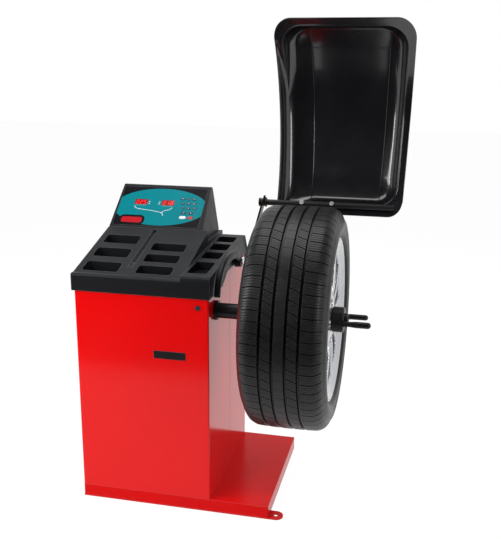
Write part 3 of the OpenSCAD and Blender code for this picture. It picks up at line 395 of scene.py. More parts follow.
def makeTyre():
    R, half, seat = wheel["radius"], wheel["width"] / 2, wheel["rimRadius"] + 0.0004
    # one side of the outline, crown first: (x, radius)
    outline = [(0.050, R - 0.0006), (0.0815, R - 0.002), (0.0905, R - 0.005),
               (0.1005, R - 0.011), (0.1085, R - 0.022)]

    def crown(x):
        x = abs(x)
        points = [(0.0, R)] + outline
        for (xa, ra), (xb, rb) in zip(points, points[1:]):
            if x <= xb:
                return ra + (rb - ra) * (x - xa) / (xb - xa)
        return points[-1][1]

    columns = []  # (x, radius, zone)
    half1 = [(0.0, "mid"), (0.0045, "mid"), (0.0085, "mid"), (0.0125, "mid"),
             (0.0132, "cut"), (0.0145, "floor"), (0.0195, "floor"), (0.0208, "cut"),
             (0.0215, "rib"), (0.026, "rib"), (0.031, "rib"), (0.036, "rib"), (0.041, "rib"),
             (0.0455, "rib"), (0.0462, "cut"), (0.0475, "floor"), (0.0525, "floor"),
             (0.0538, "cut"), (0.0545, "lead"), (0.059, "side"), (0.065, "side"),
             (0.071, "side"), (0.077, "side"), (0.083, "side"), (0.0885, "side"),
             (0.0935, "side"), (0.0985, "side"), (0.103, "side"), (0.1065, "fade")]
    for x, zone in reversed(half1[1:]):
        columns.append((-x, crown(x), zone))
    for x, zone in half1:
        columns.append((x, crown(x), zone))
    wall = [(0.1100, R - 0.0265), (0.1118, R - 0.0305), (0.1124, R - 0.0315),
            (half - 0.0022, R - 0.036), (half - 0.0012, R - 0.0405), (half - 0.0019, R - 0.0412),
            (half - 0.0016, R - 0.0422), (half - 0.0005, R - 0.0430), (half - 0.0002, R - 0.0480),
            (half - 0.0010, R - 0.0487), (half - 0.0010, R - 0.0500), (half - 0.0002, R - 0.0507),
            (half - 0.0002, seat + 0.046), (half - 0.0010, seat + 0.0453),
            (half - 0.0012, seat + 0.040),
            (half - 0.0035, seat + 0.033), (half - 0.0040, seat + 0.0305),
            (half - 0.0075, seat + 0.0265), (half - 0.0135, seat + 0.022),
            (0.0975, seat + 0.0176), (0.0955, seat + 0.003), (0.0935, seat), (0.081, seat)]
    inner = [(0.080, seat + 0.012), (0.0955, seat + 0.026), (0.1065, seat + 0.048),
             (0.0965, R - 0.024), (0.0835, R - 0.016)]
    for x, r in wall + inner:
        columns.append((x, r, "wall"))
    for x, r in reversed(inner):
        columns.append((-x, r, "wall"))
    for x, r in reversed(wall):
        columns.append((-x, r, "wall"))
    pitches = tread["pitches"]
    rows = [(0.0, "top"), (0.02, "groove"), (0.085, "groove"), (0.105, "top"),
            (0.315, "top"), (0.332, "sipeA"), (0.349, "top"), (0.54, "top"),
            (0.557, "sipeB"), (0.574, "top"), (0.775, "top"), (0.792, "sipeA"),
            (0.809, "top")]
    step = 2 * math.pi / pitches

    def slant(x):
        ax = abs(x)
        if ax < 0.0125:
            return 0.12 * x / 0.0125 * 0.4
        sign = 1 if x > 0 else -1
        turn = 0.048 + (min(ax, 0.050) - 0.0125) * 16.0
        turn += max(0.0, ax - 0.050) * 3.0 - max(0.0, ax - 0.08) * 6.0
        return sign * turn

    verts, grooveShade = [], []
    for p in range(pitches):
        # pitch lengths vary a little, as on a real tread
        for f, kind in rows:
            base = (p + f) * step + tread["wave"] * math.sin(
                (p + f) * 2 * math.pi * tread["waves"] / pitches)
            for x, r, zone in columns:
                depth = 0.0
                if zone == "floor":
                    depth = tread["grooveDepth"]
                elif zone == "cut":
                    depth = tread["cutDepth"]
                if kind == "groove":
                    if zone == "side":
                        depth = tread["shoulderDepth"]
                    elif zone == "fade":
                        depth = tread["fadeDepth"]
                    elif zone == "lead":
                        depth = tread["cutDepth"]
                    elif zone == "rib":
                        depth = tread["sipeDepth"]
                elif kind == "sipeA":
                    if zone == "side" or (zone == "rib" and 0.025 < abs(x) < 0.0455):
                        depth = tread["sipeDepth"]
                elif kind == "sipeB":
                    if zone == "side" and abs(x) < 0.095:
                        depth = tread["sipeDepth"] * 0.8
                    elif zone == "rib" or zone == "mid":
                        depth = tread["sipeDepth"] * (0.9 if zone == "rib" else 0.6)
                angle = base + (slant(x) * step if zone != "wall" else
                                math.copysign(slant(0.1065), x) * step)
                verts.append(aroundShaft(wheel["x"] + x, r - depth, angle))
                # groove depth as 0 to 1, used as painted shade that darkens the grooves
                grooveShade.append(min(1.0, depth / 0.006))
    rowCount = pitches * len(rows)
    faces = grid(rowCount, len(columns), True, True)
    obj = newPiece("tyreTread", verts, faces, "tyreRubber", "wheel",
                   ("tyre",), 32)
    # the depth attribute carries the painted groove shade to the tyre material
    layer = obj.data.attributes.new("depth", "FLOAT", "POINT")
    layer.data.foreach_set("value", grooveShade)
    return obj


makeTyre()
print("tyre made")

# ---- Hood ----


def hoodSide(z):
    low = hood["cz"] - (hood["r"] + hood["thick"]) * math.cos(math.radians(hood["a0"]))
    high = hood["cz"] - hood["r"] * math.cos(math.radians(hood["a1"]))
    out = hood["flare"] * (z - low) / (high - low)
    return hood["x0"] - out, hood["x1"] + out


def hoodPoint(x, z, depth):
    angle = math.acos((hood["cz"] - z) / hood["r"])
    r = hood["r"] + depth
    return (x, hood["cy"] + r * math.sin(angle), hood["cz"] - r * math.cos(angle))


def roundedLoop(inset, bottom, top, radii, sides, ends, corner):
    # Points of a rounded outline from the lower left corner's end, along the bottom first
    rLowLeft, rLowRight, rHigh = radii
    points = []

    def edgeX(z, right):
        left, far = hoodSide(z)
        return far - inset if right else left + inset

    def arc(cx, cz, r, a, b):
        for i in range(corner):
            t = math.radians(a + (b - a) * i / corner)
            points.append((cx + r * math.cos(t), cz + r * math.sin(t)))

    lowL, lowR = edgeX(bottom, False), edgeX(bottom, True)
    for i in range(ends):
        t = i / ends
        points.append((lowL + rLowLeft + (lowR - rLowRight - lowL - rLowLeft) * t, bottom))
    arc(lowR - rLowRight, bottom + rLowRight, rLowRight, -90, 0)
    for i in range(sides):
        z = bottom + rLowRight + (top - rHigh - bottom - rLowRight) * i / sides
        points.append((edgeX(z, True), z))
    highR, highL = edgeX(top - rHigh, True), edgeX(top - rHigh, False)
    arc(highR - rHigh, top - rHigh, rHigh, 0, 90)
    for i in range(ends):
        t = i / ends
        points.append((highR - rHigh + (highL + rHigh - highR + rHigh) * t, top))
    arc(highL + rHigh, top - rHigh, rHigh, 90, 180)
    for i in range(sides):
        z = top - rHigh + (bottom + rLowLeft - top + rHigh) * i / sides
        points.append((edgeX(z, False), z))
    arc(lowL + rLowLeft, bottom + rLowLeft, rLowLeft, 180, 270)
    return points


def ramp(table, value):
    for (a, va), (b, vb) in zip(table, table[1:]):
        if value <= b:
            return va + (vb - va) * max(0.0, (value - a) / (b - a))
    return table[-1][1]


def bowl(a, b, d):
    # 0 to 1 with a short lead-in, a steep wall and a round foot
    t = min(1.0, max(0.0, (d - a) / (b - a)))
    return math.sqrt(1 - (1 - t) ** 2) * smoothstep(0, 0.12, t)


def hoodDepth(x, z, d):
    # Depth behind the rim's arc; d is the distance in from the sheet's edge
    left, right = hoodSide(z)
    edge = 0.0008 * max(0.0, 1 - d / 0.0012)
    lip = hood["lip"] * max(0.0, 1 - abs(d - 0.022) / 0.0026)
    plain = hood["tub"] * bowl(0.0030, 0.056, d)
    lipped = hood["tub"] * bowl(0.0240, 0.060, d) - lip
    side = smoothstep(0.08, 0.15, (left + right) / 2 - x)
    fold = min(1.0, max(0.0, (x - left - 0.050) / (hood["creaseLeft"] - 0.050)))
    fold *= min(1.0, max(0.0, (right - x - 0.045) / (hood["creaseRight"] - 0.045)))
    low, high = hoodEnds()
    side *= smoothstep(0.05, 0.26, high - z)
    fold *= min(1.0, max(0.0, (z - low - 0.07) / 0.06), max(0.0, (high - z - 0.05) / 0.06))
    return edge + lipped + (plain - lipped) * side + hood["fold"] * fold


def hoodEnds():
    return (hood["cz"] - hood["r"] * math.cos(math.radians(hood["a0"])),
            hood["cz"] - hood["r"] * math.cos(math.radians(hood["a1"])) - hood["thick"] / 2)


def hoodBottom(d):
    low = hoodEnds()[0]
    tubLow = hood["cz"] - hood["r"] * math.cos(math.radians(hood["tubA0"]))
    flange = hood["flange"]
    return low + (tubLow - low) * d / flange if d < flange else tubLow + d - flange


def makeHood():
    sides, ends, corner = 72, 44, 12
    high = hoodEnds()[1]
    verts, faces, loops = [], [], []
    for d in (0, 0.0012, 0.0045, 0.0058, 0.007, 0.0085, 0.0105, 0.013, 0.016, 0.019, 0.0206,
              0.022, 0.0234, 0.0245, 0.0256, 0.027, 0.029, 0.0315, 0.034, 0.037, 0.040, 0.043,
              0.046, 0.049, 0.052, 0.055, 0.058, 0.062, 0.068, 0.076, 0.086, 0.097, 0.110):
        radii = (ramp([(0, 0.0008), (0.022, 0.014), (0.062, 0.030), (0.11, 0)], d),
                 ramp([(0, 0.046), (0.022, 0.050), (0.062, 0.040), (0.11, 0)], d),
                 ramp([(0, 0.060), (0.022, 0.066), (0.062, 0.052), (0.11, 0)], d))
        loops.append(len(verts))
        for x, z in roundedLoop(d, hoodBottom(d), high - d, radii, sides, ends, corner):
            verts.append(hoodPoint(x, z, hoodDepth(x, z, d)))
    count = 2 * sides + 2 * ends + 4 * corner
    for a, b in zip(loops, loops[1:]):
        for i in range(count):
            j = (i + 1) % count
            faces.append((a + i, a + j, b + j, b + i))
    # back of the tub, as a grid inside the last loop
    zLow, zHigh = hoodBottom(0.110), high - 0.110
    start = len(verts)
    for i in range(sides + 1):
        z = zLow + (zHigh - zLow) * i / sides
        left, right = hoodSide(z)
        left, right = left + 0.110, right - 0.110
        for j in range(ends + 1):
            x = left + (right - left) * j / ends
            verts.append(hoodPoint(x, z, hoodDepth(x, z, 0.110)))
    faces += [tuple(start + v for v in face) for face in grid(sides + 1, ends + 1)]
    obj = newPiece("hoodShell", verts, faces, "hoodPlastic", "hood",
                   ("guard_hood",), 50, merge=0.00005)
    # the sheet's thickness, outward from the tub's inside face
    solid = obj.modifiers.new("sheet", "SOLIDIFY")
    solid.thickness = hood["thick"] * 0.95
    solid.offset = 1.0
    solid.use_even_offset = False
    bm = bmesh.new()
    bm.from_mesh(obj.data)
    middle = min(bm.faces, key=lambda q: (q.calc_center_median() - Vector(
        (0.417, 0.46, 1.12))).length)
    if middle.normal.y < 0:
        bmesh.ops.reverse_faces(bm, faces=bm.faces)
    bm.to_mesh(obj.data)
    bm.free()
    bakeModifiers(obj)
    shade(obj, 50)
    return obj


def bakeModifiers(obj):
    graph = bpy.context.evaluated_depsgraph_get()
    mesh = bpy.data.meshes.new_from_object(obj.evaluated_get(graph))
    obj.modifiers.clear()
    old = obj.data
    obj.data = mesh
    bpy.data.meshes.remove(old)


def makeSeams():
    # the two fine folds down the back of the tub
    high = hoodEnds()[1]
    verts, faces, rows = [], [], 90
    for right in (False, True):
        start = len(verts)
        for i in range(rows):
            z = hoodBottom(0.030) + (high - 0.034 - hoodBottom(0.030)) * i / (rows - 1)
            sides = hoodSide(z)
            x = sides[1] - hood["creaseRight"] if right else sides[0] + hood["creaseLeft"]
            d = min(0.110, high - z, hood["flange"] + z - hoodBottom(hood["flange"]))
            for dx, rise in ((-0.0022, -0.0004), (0, 0.0026), (0.0022, -0.0004), (0, -0.001)):
                verts.append(hoodPoint(x + dx, z, hoodDepth(x, z, d) - rise))
        faces += [tuple(start + v for v in f) for f in grid(rows, 4, False, True)]
        faces.append(tuple(start + j for j in range(4)))
        faces.append(tuple(start + (rows - 1) * 4 + j for j in reversed(range(4))))
    newPiece("hoodSeams", verts, faces, "hoodPlastic", "hood", (), 20)


makeHood()
makeSeams()
print("hood made")

# ---- Wheel rim ----


def roundedPath(points, radius, steps=4, closed=True):
    # Each corner becomes a small arc of the given radius, or less where there's no room
    out, count = [], len(points)
    for i, point in enumerate(points):
        here = Vector((*point[:2], 0))
        if not closed and i in (0, count - 1):
            out.append(tuple(here[:2]))
            continue
        before = Vector((*points[i - 1][:2], 0)) - here
        after = Vector((*points[(i + 1) % count][:2], 0)) - here
        r = point[2] if len(point) > 2 else radius
        turn = before.angle(after)
        if turn > 3.05 or r <= 0:
            out.append(tuple(here[:2]))
            continue
        back = min(r / math.tan(turn / 2), before.length * 0.45, after.length * 0.45)
        a = here + before.normalized() * back
        b = here + after.normalized() * back
        for j in range(steps + 1):
            t = j / steps
            q = a.lerp(here, t).lerp(here.lerp(b, t), t)
            out.append((q.x, q.y))
    return out


def revolved(profile, steps, offset=0.0):
    # (x, r) points turned about the shaft axis
    verts = [aroundShaft(x, r, offset + 2 * math.pi * i / steps)
             for i in range(steps) for x, r in profile]
    return verts, grid(steps, len(profile), True, True)


rim = {"spokes": 10, "hubWidth": 0.030, "waist": 0.019,
       "bolts": 5, "boltCircle": 0.056, "voxel": 0.0021}


def makeRim():
    seat, x = wheel["rimRadius"], wheel["x"]
    barrel = [(-0.1065, seat + 0.017), (-0.1005, seat + 0.017, 0.004), (-0.0955, seat, 0.004),
              (-0.070, seat - 0.002, 0.006), (-0.050, seat - 0.020, 0.010),
              (0.038, seat - 0.020, 0.010), (0.064, seat - 0.002, 0.006),
              (0.0955, seat, 0.004), (0.1005, seat + 0.017, 0.004), (0.1065, seat + 0.017),
              (0.1065, seat + 0.011, 0.003), (0.0955, seat - 0.008, 0.005),
              (0.062, seat - 0.010, 0.006), (0.036, seat - 0.028, 0.010),
              (-0.052, seat - 0.028, 0.010), (-0.072, seat - 0.010, 0.006),
              (-0.0955, seat - 0.008, 0.005), (-0.1065, seat + 0.011, 0.003)]
    profile = [(x + px, r) for px, r in roundedPath(barrel, 0.0022, 4)]
    verts, faces = revolved(profile, 192)
    newPiece("rimBarrel", verts, faces, "wheelSilver", "wheel",
             ("wheel_rim",), 40)

    face = wheel["faceX"]
    hub = [(0.0, 0.0334), (0.0, 0.078), (0.030, 0.078), (0.047, 0.067), (0.0500, 0.054),
           (0.0500, 0.040), (0.046, 0.0334)]
    verts, faces = revolved([(face + px, r) for px, r in hub], 120)
    ring = [(0.030, seat - 0.021), (0.030, seat - 0.004), (0.0490, seat - 0.0035),
            (0.0500, seat - 0.010), (0.044, seat - 0.020)]
    more, moreFaces = revolved([(face + px, r) for px, r in ring], 160)
    start = len(verts)
    verts += more
    faces += [tuple(start + v for v in f) for f in moreFaces]
    sections = [(0.056, 0.016, 0.0475, 1.0), (0.075, 0.022, 0.0485, 0.8),
                (0.100, 0.027, 0.0510, 0.55), (0.130, 0.031, 0.0515, 0.5),
                (0.160, 0.032, 0.0508, 0.62), (0.185, 0.031, 0.0498, 0.85),
                (0.206, 0.031, 0.0488, 1.1)]
    around = 20
    for k in range(rim["spokes"]):
        angle = 2 * math.pi * k / rim["spokes"]
        start = len(verts)
        for r, back, front, wide in sections:
            half = rim["hubWidth"] / 2 * wide if r < 0.09 else rim["waist"] / 2 * (
                0.75 + 0.55 * wide)
            for j in range(around):
                t = 2 * math.pi * j / around
                c, q = math.cos(t), math.sin(t)
                side = half * math.copysign(abs(c) ** 0.55, c)
                deep = (front - back) / 2 * math.copysign(abs(q) ** 0.7, q)
                px = face + (front + back) / 2 + deep
                # the spoke's front face is slightly hollow
                px -= 0.0022 * max(0.0, q) * (1 - (c * c)) * smoothstep(0.08, 0.12, r)
                radial = Vector((0, math.cos(angle), math.sin(angle)))
                across = Vector((0, -math.sin(angle), math.cos(angle)))
                centre = Vector((0, shaft["y"], shaft["z"]))
                verts.append(tuple(Vector((px, 0, 0)) + centre + radial * r + across * side))
        count = len(sections)
        faces += [tuple(start + v for v in f) for f in grid(count, around, False, True)]
        faces.append(tuple(start + j for j in range(around)))
        faces.append(tuple(start + (count - 1) * around + j for j in reversed(range(around))))
    mesh = bpy.data.meshes.new("rimSpider")
    mesh.from_pydata(verts, [], faces)
    spider = bpy.data.objects.new("rimSpider", mesh)
    scene.collection.objects.link(spider)
    bm = bmesh.new()
    bm.from_mesh(mesh)
    bmesh.ops.recalc_face_normals(bm, faces=bm.faces)
    bm.to_mesh(mesh)
    bm.free()
    blend = spider.modifiers.new("cast", "REMESH")
    blend.mode = "VOXEL"
    blend.voxel_size = rim["voxel"]
    bakeModifiers(spider)
    # bolt seats, cut before the casting is smoothed
    cutVerts, cutFaces = [], []
    for k in range(rim["bolts"]):
        a = 2 * math.pi * k / rim["bolts"] + math.radians(36)
        cy = shaft["y"] + rim["boltCircle"] * math.cos(a)
        cz = shaft["z"] + rim["boltCircle"] * math.sin(a)
        outline = [(-0.01, 0.007), (0.013, 0.007), (0.020, 0.0125), (0.07, 0.0125)]
        start = len(cutVerts)
        for px, r in outline:
            for j in range(28):
                t = 2 * math.pi * j / 28
                cutVerts.append((face + px, cy + r * math.cos(t), cz + r * math.sin(t)))
        cutFaces += [tuple(start + v for v in f) for f in grid(4, 28, False, True)]
        cutFaces.append(tuple(start + j for j in reversed(range(28))))
        cutFaces.append(tuple(start + 84 + j for j in range(28)))
    cutMesh = bpy.data.meshes.new("boltCut")
    cutMesh.from_pydata(cutVerts, [], cutFaces)
    bm = bmesh.new()
    bm.from_mesh(cutMesh)
    bmesh.ops.recalc_face_normals(bm, faces=bm.faces)
    bm.to_mesh(cutMesh)
    bm.free()
    cutter = bpy.data.objects.new("boltCut", cutMesh)
    scene.collection.objects.link(cutter)
    cut = spider.modifiers.new("bolts", "BOOLEAN")
    cut.object = cutter
    cut.operation = "DIFFERENCE"
    cut.solver = "EXACT"
    soft = spider.modifiers.new("soft", "SMOOTH")
    soft.factor, soft.iterations = 0.5, 5
    bakeModifiers(spider)
    bpy.data.objects.remove(cutter)
    spider.data.materials.clear()
    spider.data.materials.append(materials["wheelSilver"])
    shade(spider, 60)
    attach(spider, "wheel")
    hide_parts("wheel_rim")


makeRim()
print("rim made")

# ---- Distance gauge arm ----


def makeArm():
    x0, x1 = 0.1224, 0.1400
    # (y, z, half thickness) from the boss to the tip
    line = [(0.067, 0.718, 0.0150), (0.045, 0.736, 0.0140), (0.012, 0.7490, 0.0125),
            (-0.030, 0.7555, 0.0122), (-0.075, 0.7570, 0.0120), (-0.115, 0.7530, 0.0118),
            (-0.150, 0.7410, 0.0115), (-0.176, 0.7220, 0.0105), (-0.189, 0.7010, 0.0098),
            (-0.1955, 0.6840, 0.0090), (-0.1980, 0.6720, 0.0070)]
    points = []
    for i in range(len(line) - 1):
        p0, p1 = line[max(0, i - 1)], line[i]
        p2, p3 = line[i + 1], line[min(len(line) - 1, i + 2)]
        for j in range(5):
            t = j / 5
            points.append(tuple(0.5 * (2 * b + (c - a) * t + (2 * a - 5 * b + 4 * c - d) * t * t
                                       + (3 * b - a - 3 * c + d) * t ** 3)
                                for a, b, c, d in zip(p0, p1, p2, p3)))
    points.append(line[-1])
    verts, around = [], 20
    for i, (y, z, half) in enumerate(points):
        a, b = points[max(0, i - 1)], points[min(len(points) - 1, i + 1)]
        along = Vector((0, b[0] - a[0], b[1] - a[1])).normalized()
        across = Vector((0, along.z, -along.y))
        for j in range(around):
            t = 2 * math.pi * j / around
            c, q = math.cos(t), math.sin(t)
            px = (x0 + x1) / 2 + (x1 - x0) / 2 * math.copysign(abs(c) ** 0.45, c)
            v = Vector((px, y, z)) + across * half * math.copysign(abs(q) ** 0.6, q)
            verts.append(tuple(v))
    faces = grid(len(points), around, False, True)
    faces.append(tuple(reversed(range(around))))
    faces.append(tuple((len(points) - 1) * around + j for j in range(around)))
    newPiece("gaugeArm", verts, faces, "moulding", "gauge_swing",
             ("gauge_arm",), 50)
    boss = roundedPath([(x0 - 0.0002, 0.0082), (x0 - 0.0002, 0.022, 0.002),
                        (x1 + 0.0002, 0.022, 0.003), (x1 + 0.0002, 0.014, 0.001),
                        (x1 - 0.002, 0.013, 0.001), (x1 - 0.002, 0.0082)], 0.001, 3)
    verts = [(x, 0.067 + r * math.cos(2 * math.pi * i / 64),
              0.718 + r * math.sin(2 * math.pi * i / 64)) for i in range(64) for x, r in boss]
    newPiece("gaugeBoss", verts, grid(64, len(boss), True, True), "moulding", "gauge_swing",
             ("gauge_arm",), 40)


makeArm()
print("gauge arm made")

# ---- Tray: a shallow trough in the slot between the two pocket groups ----


def makeTrough():
    # (y, z) of the deck's surface along the slot, and its sides in X
    x0, x1 = -0.14795, -0.13205
    y0, y1, slope = -0.193, 0.050, math.radians(16.2)
    deck = 0.726
    verts = []
    for y in [y0 + (y1 - y0) * i / 12 for i in range(13)]:
        z = deck + (y + 0.219) * math.tan(slope)
        fall = 0.0022 + 0.005 * smoothstep(y0, y0 + 0.10, y)
        for x, drop in ((x0, 0.0006), (x0 + 0.002, 0.0010), (x0 + 0.005, fall),
                        ((x0 + x1) / 2, fall + 0.001), (x1 - 0.005, fall),
                        (x1 - 0.002, 0.0010), (x1, 0.0006), (x1, 0.012), (x0, 0.012)):
            verts.append((x, y, z - drop))
    faces = grid(13, 9, False, True)
    faces.append(tuple(range(9)))
    faces.append(tuple(12 * 9 + j for j in reversed(range(9))))
    newPiece("trayTrough", verts, faces, "moulding", "machine", (), 60)


makeTrough()

# ---- Console face: print, digits and keys ----


def onPanel(x, v, w):
    c, q = math.cos(panel["slope"]), math.sin(panel["slope"])
    return (x + panel["x"], panel["y"] + v * c - w * q, panel["z"] + v * q + w * c)


def flatShapes(name, shapes, height, look, body="machine"):
    # Outlines in panel coordinates, each a thin printed layer
    verts, faces = [], []
    for outline in shapes:
        start = len(verts)
        verts += [onPanel(x, v, height) for x, v in outline]
        faces.append(tuple(range(start, start + len(outline))))
    obj = newPiece(name, verts, faces, look, body, (), 30)
    bm = bmesh.new()
    bm.from_mesh(obj.data)
    up = Vector((0, -math.sin(panel["slope"]), math.cos(panel["slope"])))
    bmesh.ops.reverse_faces(bm, faces=[f for f in bm.faces if f.normal.dot(up) < 0])
    bm.to_mesh(obj.data)
    bm.free()
    return obj


def stroke(points, width):
    # One quad for each stretch
    shapes = []
    for (xa, va), (xb, vb) in zip(points, points[1:]):
        d = Vector((xb - xa, vb - va)).normalized() * width / 2
        shapes.append([(xa - d.y, va + d.x), (xb - d.y, vb + d.x), (xb + d.y, vb - d.x),
                       (xa + d.y, va - d.x)])
    return shapes


foilTop = -panel["recess"] + 0.00205
printLook = {"lineWidth": 0.0022, "arrow": 0.006}


def makePrint():
    rimLine = [(0.0556, 0.0905), (0.062, 0.0835), (0.070, 0.0800), (0.090, 0.0775),
               (0.113, 0.0750), (0.135, 0.0712), (0.150, 0.0685), (0.1575, 0.064),
               (0.162, 0.055)]
    branch = [(0.1555, 0.0665), (0.160, 0.0735), (0.166, 0.0775), (0.176, 0.0795),
              (0.182, 0.0835), (0.1865, 0.0905)]
    shapes = stroke(rimLine, printLook["lineWidth"]) + stroke(branch, printLook["lineWidth"])
    size = printLook["arrow"]
    for x, v, way in ((0.1045, 0.1115, 1), (0.1045, 0.1035, 1), (0.1365, 0.1115, -1),
                      (0.1365, 0.1035, -1)):
        shapes.append([(x - size / 2 * way, v - size / 2.6), (x + size / 2 * way, v),
                       (x - size / 2 * way, v + size / 2.6)])
    for i in range(6):
        # a scale of small ticks under each display
        for x0 in (0.0585, 0.1505):
            x = x0 + i * 0.0065
            shapes.append([(x, 0.0945), (x + 0.0012, 0.0945), (x + 0.0012, 0.0965),
                           (x, 0.0965)])
    flatShapes("panelPrint", shapes, foilTop + 0.00006, "printGrey")


def makeDigits():
    segments = {"a": ((0, 2), (1, 2)), "b": ((1, 2), (1, 1)), "c": ((1, 1), (1, 0)),
                "d": ((0, 0), (1, 0)), "e": ((0, 1), (0, 0)), "f": ((0, 2), (0, 1)),
                "g": ((0, 1), (1, 1))}
    shown = {"0": "abcdef", "1": "bc", "2": "abged", "5": "afgcd"}
    shapes = []
    for x0, text in ((0.0575, "025"), (0.1495, "010")):
        for i, figure in enumerate(text):
            for key in shown[figure]:
                (xa, va), (xb, vb) = segments[key]
                w, h, lean = 0.0068, 0.0070, 0.10
                pts = []
                for px, pv in ((xa, va), (xb, vb)):
                    pts.append((x0 + i * 0.0128 + px * w + pv * h * lean,
                                0.1030 + pv * h))
                a, b = Vector(pts[0]), Vector(pts[1])
                d = (b - a).normalized()
                a, b = a + d * 0.0009, b - d * 0.0009
                n = Vector((-d.y, d.x)) * 0.0008
                shapes.append([tuple(a - d * 0.0007), tuple(a + n), tuple(b + n),
                               tuple(b + d * 0.0007), tuple(b - n), tuple(a - n)])
    flatShapes("ledDigits", shapes, -0.00090, "ledGlow")


keyLook = {"top": 0.0005, "depth": 0.0075, "markWidth": 0.0011}


def roundRect(w, l, r, steps=5):
    points = []
    for cx, cv, a in ((w / 2 - r, -l / 2 + r, -90), (w / 2 - r, l / 2 - r, 0),
                      (-w / 2 + r, l / 2 - r, 90), (-w / 2 + r, -l / 2 + r, 180)):
        for i in range(steps + 1):
            t = math.radians(a + 90 * i / steps)
            points.append((cx + r * math.cos(t), cv + r * math.sin(t)))
    return points


def keyMark(kind):
    m = keyLook["markWidth"]
    if kind == "dot":
        return [[(0.0012 * math.cos(t * math.pi / 5), 0.0012 * math.sin(t * math.pi / 5))
                 for t in range(10)]]
    if kind == "bar":
        return stroke([(-0.0026, 0), (0.0026, 0)], m)
    if kind == "corner":
        return stroke([(-0.0022, 0.0018), (-0.0022, -0.0018), (0.0024, -0.0018)], m)
    if kind == "arrow":
        return [[(-0.0018, -0.0020), (0.0024, 0), (-0.0018, 0.0020)]]
    if kind == "step":
        return stroke([(-0.0028, -0.0016), (0, -0.0016), (0, 0.0016), (0.0028, 0.0016)], m)
    if kind == "ring":
        ring = [(0.0020 * math.cos(t * math.pi / 6), 0.0020 * math.sin(t * math.pi / 6))
                for t in range(13)]
        return stroke(ring, m * 0.8)
    return []


def makeKeys():
    kinds = ["ring", "bar", "arrow", "dot", "step", "corner", "bar", "arrow", "dot"]
    for name in sorted(n for n in nodes if n.startswith("key_")):
        low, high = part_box(name)
        sizes = {"key_menu": (0.016, 0.010, 0.003), "key_select": (0.016, 0.010, 0.003),
                 "key_start": (0.022, 0.012, 0.0059), "key_stop": (0.020, 0.012, 0.0059)}
        w, l, r = sizes.get(name, (0.011, 0.009, 0.002))
        # the key's middle on the console face, from its box
        x = (low.x + high.x) / 2 - panel["x"]
        mid = (low + high) / 2
        c, q = math.cos(panel["slope"]), math.sin(panel["slope"])
        v = (mid.y - panel["y"]) * c + (mid.z - panel["z"]) * q
        top, depth = keyLook["top"], keyLook["depth"]
        rings = [(-depth, 0.0), (top - 0.0009, 0.0), (top - 0.0004, 0.00015),
                 (top - 0.0001, 0.0005), (top, 0.0011)]
        verts, faces = [], []
        count = len(roundRect(w, l, r))
        for height, inset in rings:
            for px, pv in roundRect(w - 2 * inset, l - 2 * inset, max(0.0004, r - inset)):
                verts.append(onPanel(x + px, v + pv, height))
        faces += grid(len(rings), count, False, True)
        # a slightly dished top
        start = len(verts)
        for scale, drop in ((0.66, 0.00012), (0.3, 0.00018)):
            for px, pv in roundRect(w - 0.0022, l - 0.0022, max(0.0004, r - 0.0011)):
                verts.append(onPanel(x + px * scale, v + pv * scale, top - drop))
        last = (len(rings) - 1) * count
        for i in range(count):
            j = (i + 1) % count
            faces.append((last + i, last + j, start + j, start + i))
            faces.append((start + i, start + j, start + count + j, start + count + i))
        faces.append(tuple(start + count + i for i in range(count)))
        faces.append(tuple(reversed(range(count))))
        body = name + "_body"
        slotName = {"key_start": "key_white", "key_stop": "key_red"}.get(name, "key_blue")
        newPiece(name + "_cap", verts, faces, slotLook[slotName], body, (name,), 50)
        if name.startswith("key_row"):
            kind = kinds[(int(name[7]) - 1) * 3 + ("left", "middle", "right").index(name[9:])]
        else:
            kind = {"key_menu": "step", "key_select": "arrow"}.get(name, "")
        marks = [[(x + px, v + pv) for px, pv in shape] for shape in keyMark(kind)]
        if marks:
            flatShapes(name + "_mark", marks, top + 0.00004, "printGrey", body)


makePrint()
makeDigits()
makeKeys()
print("console made")

# ---- Floor, light and camera ----


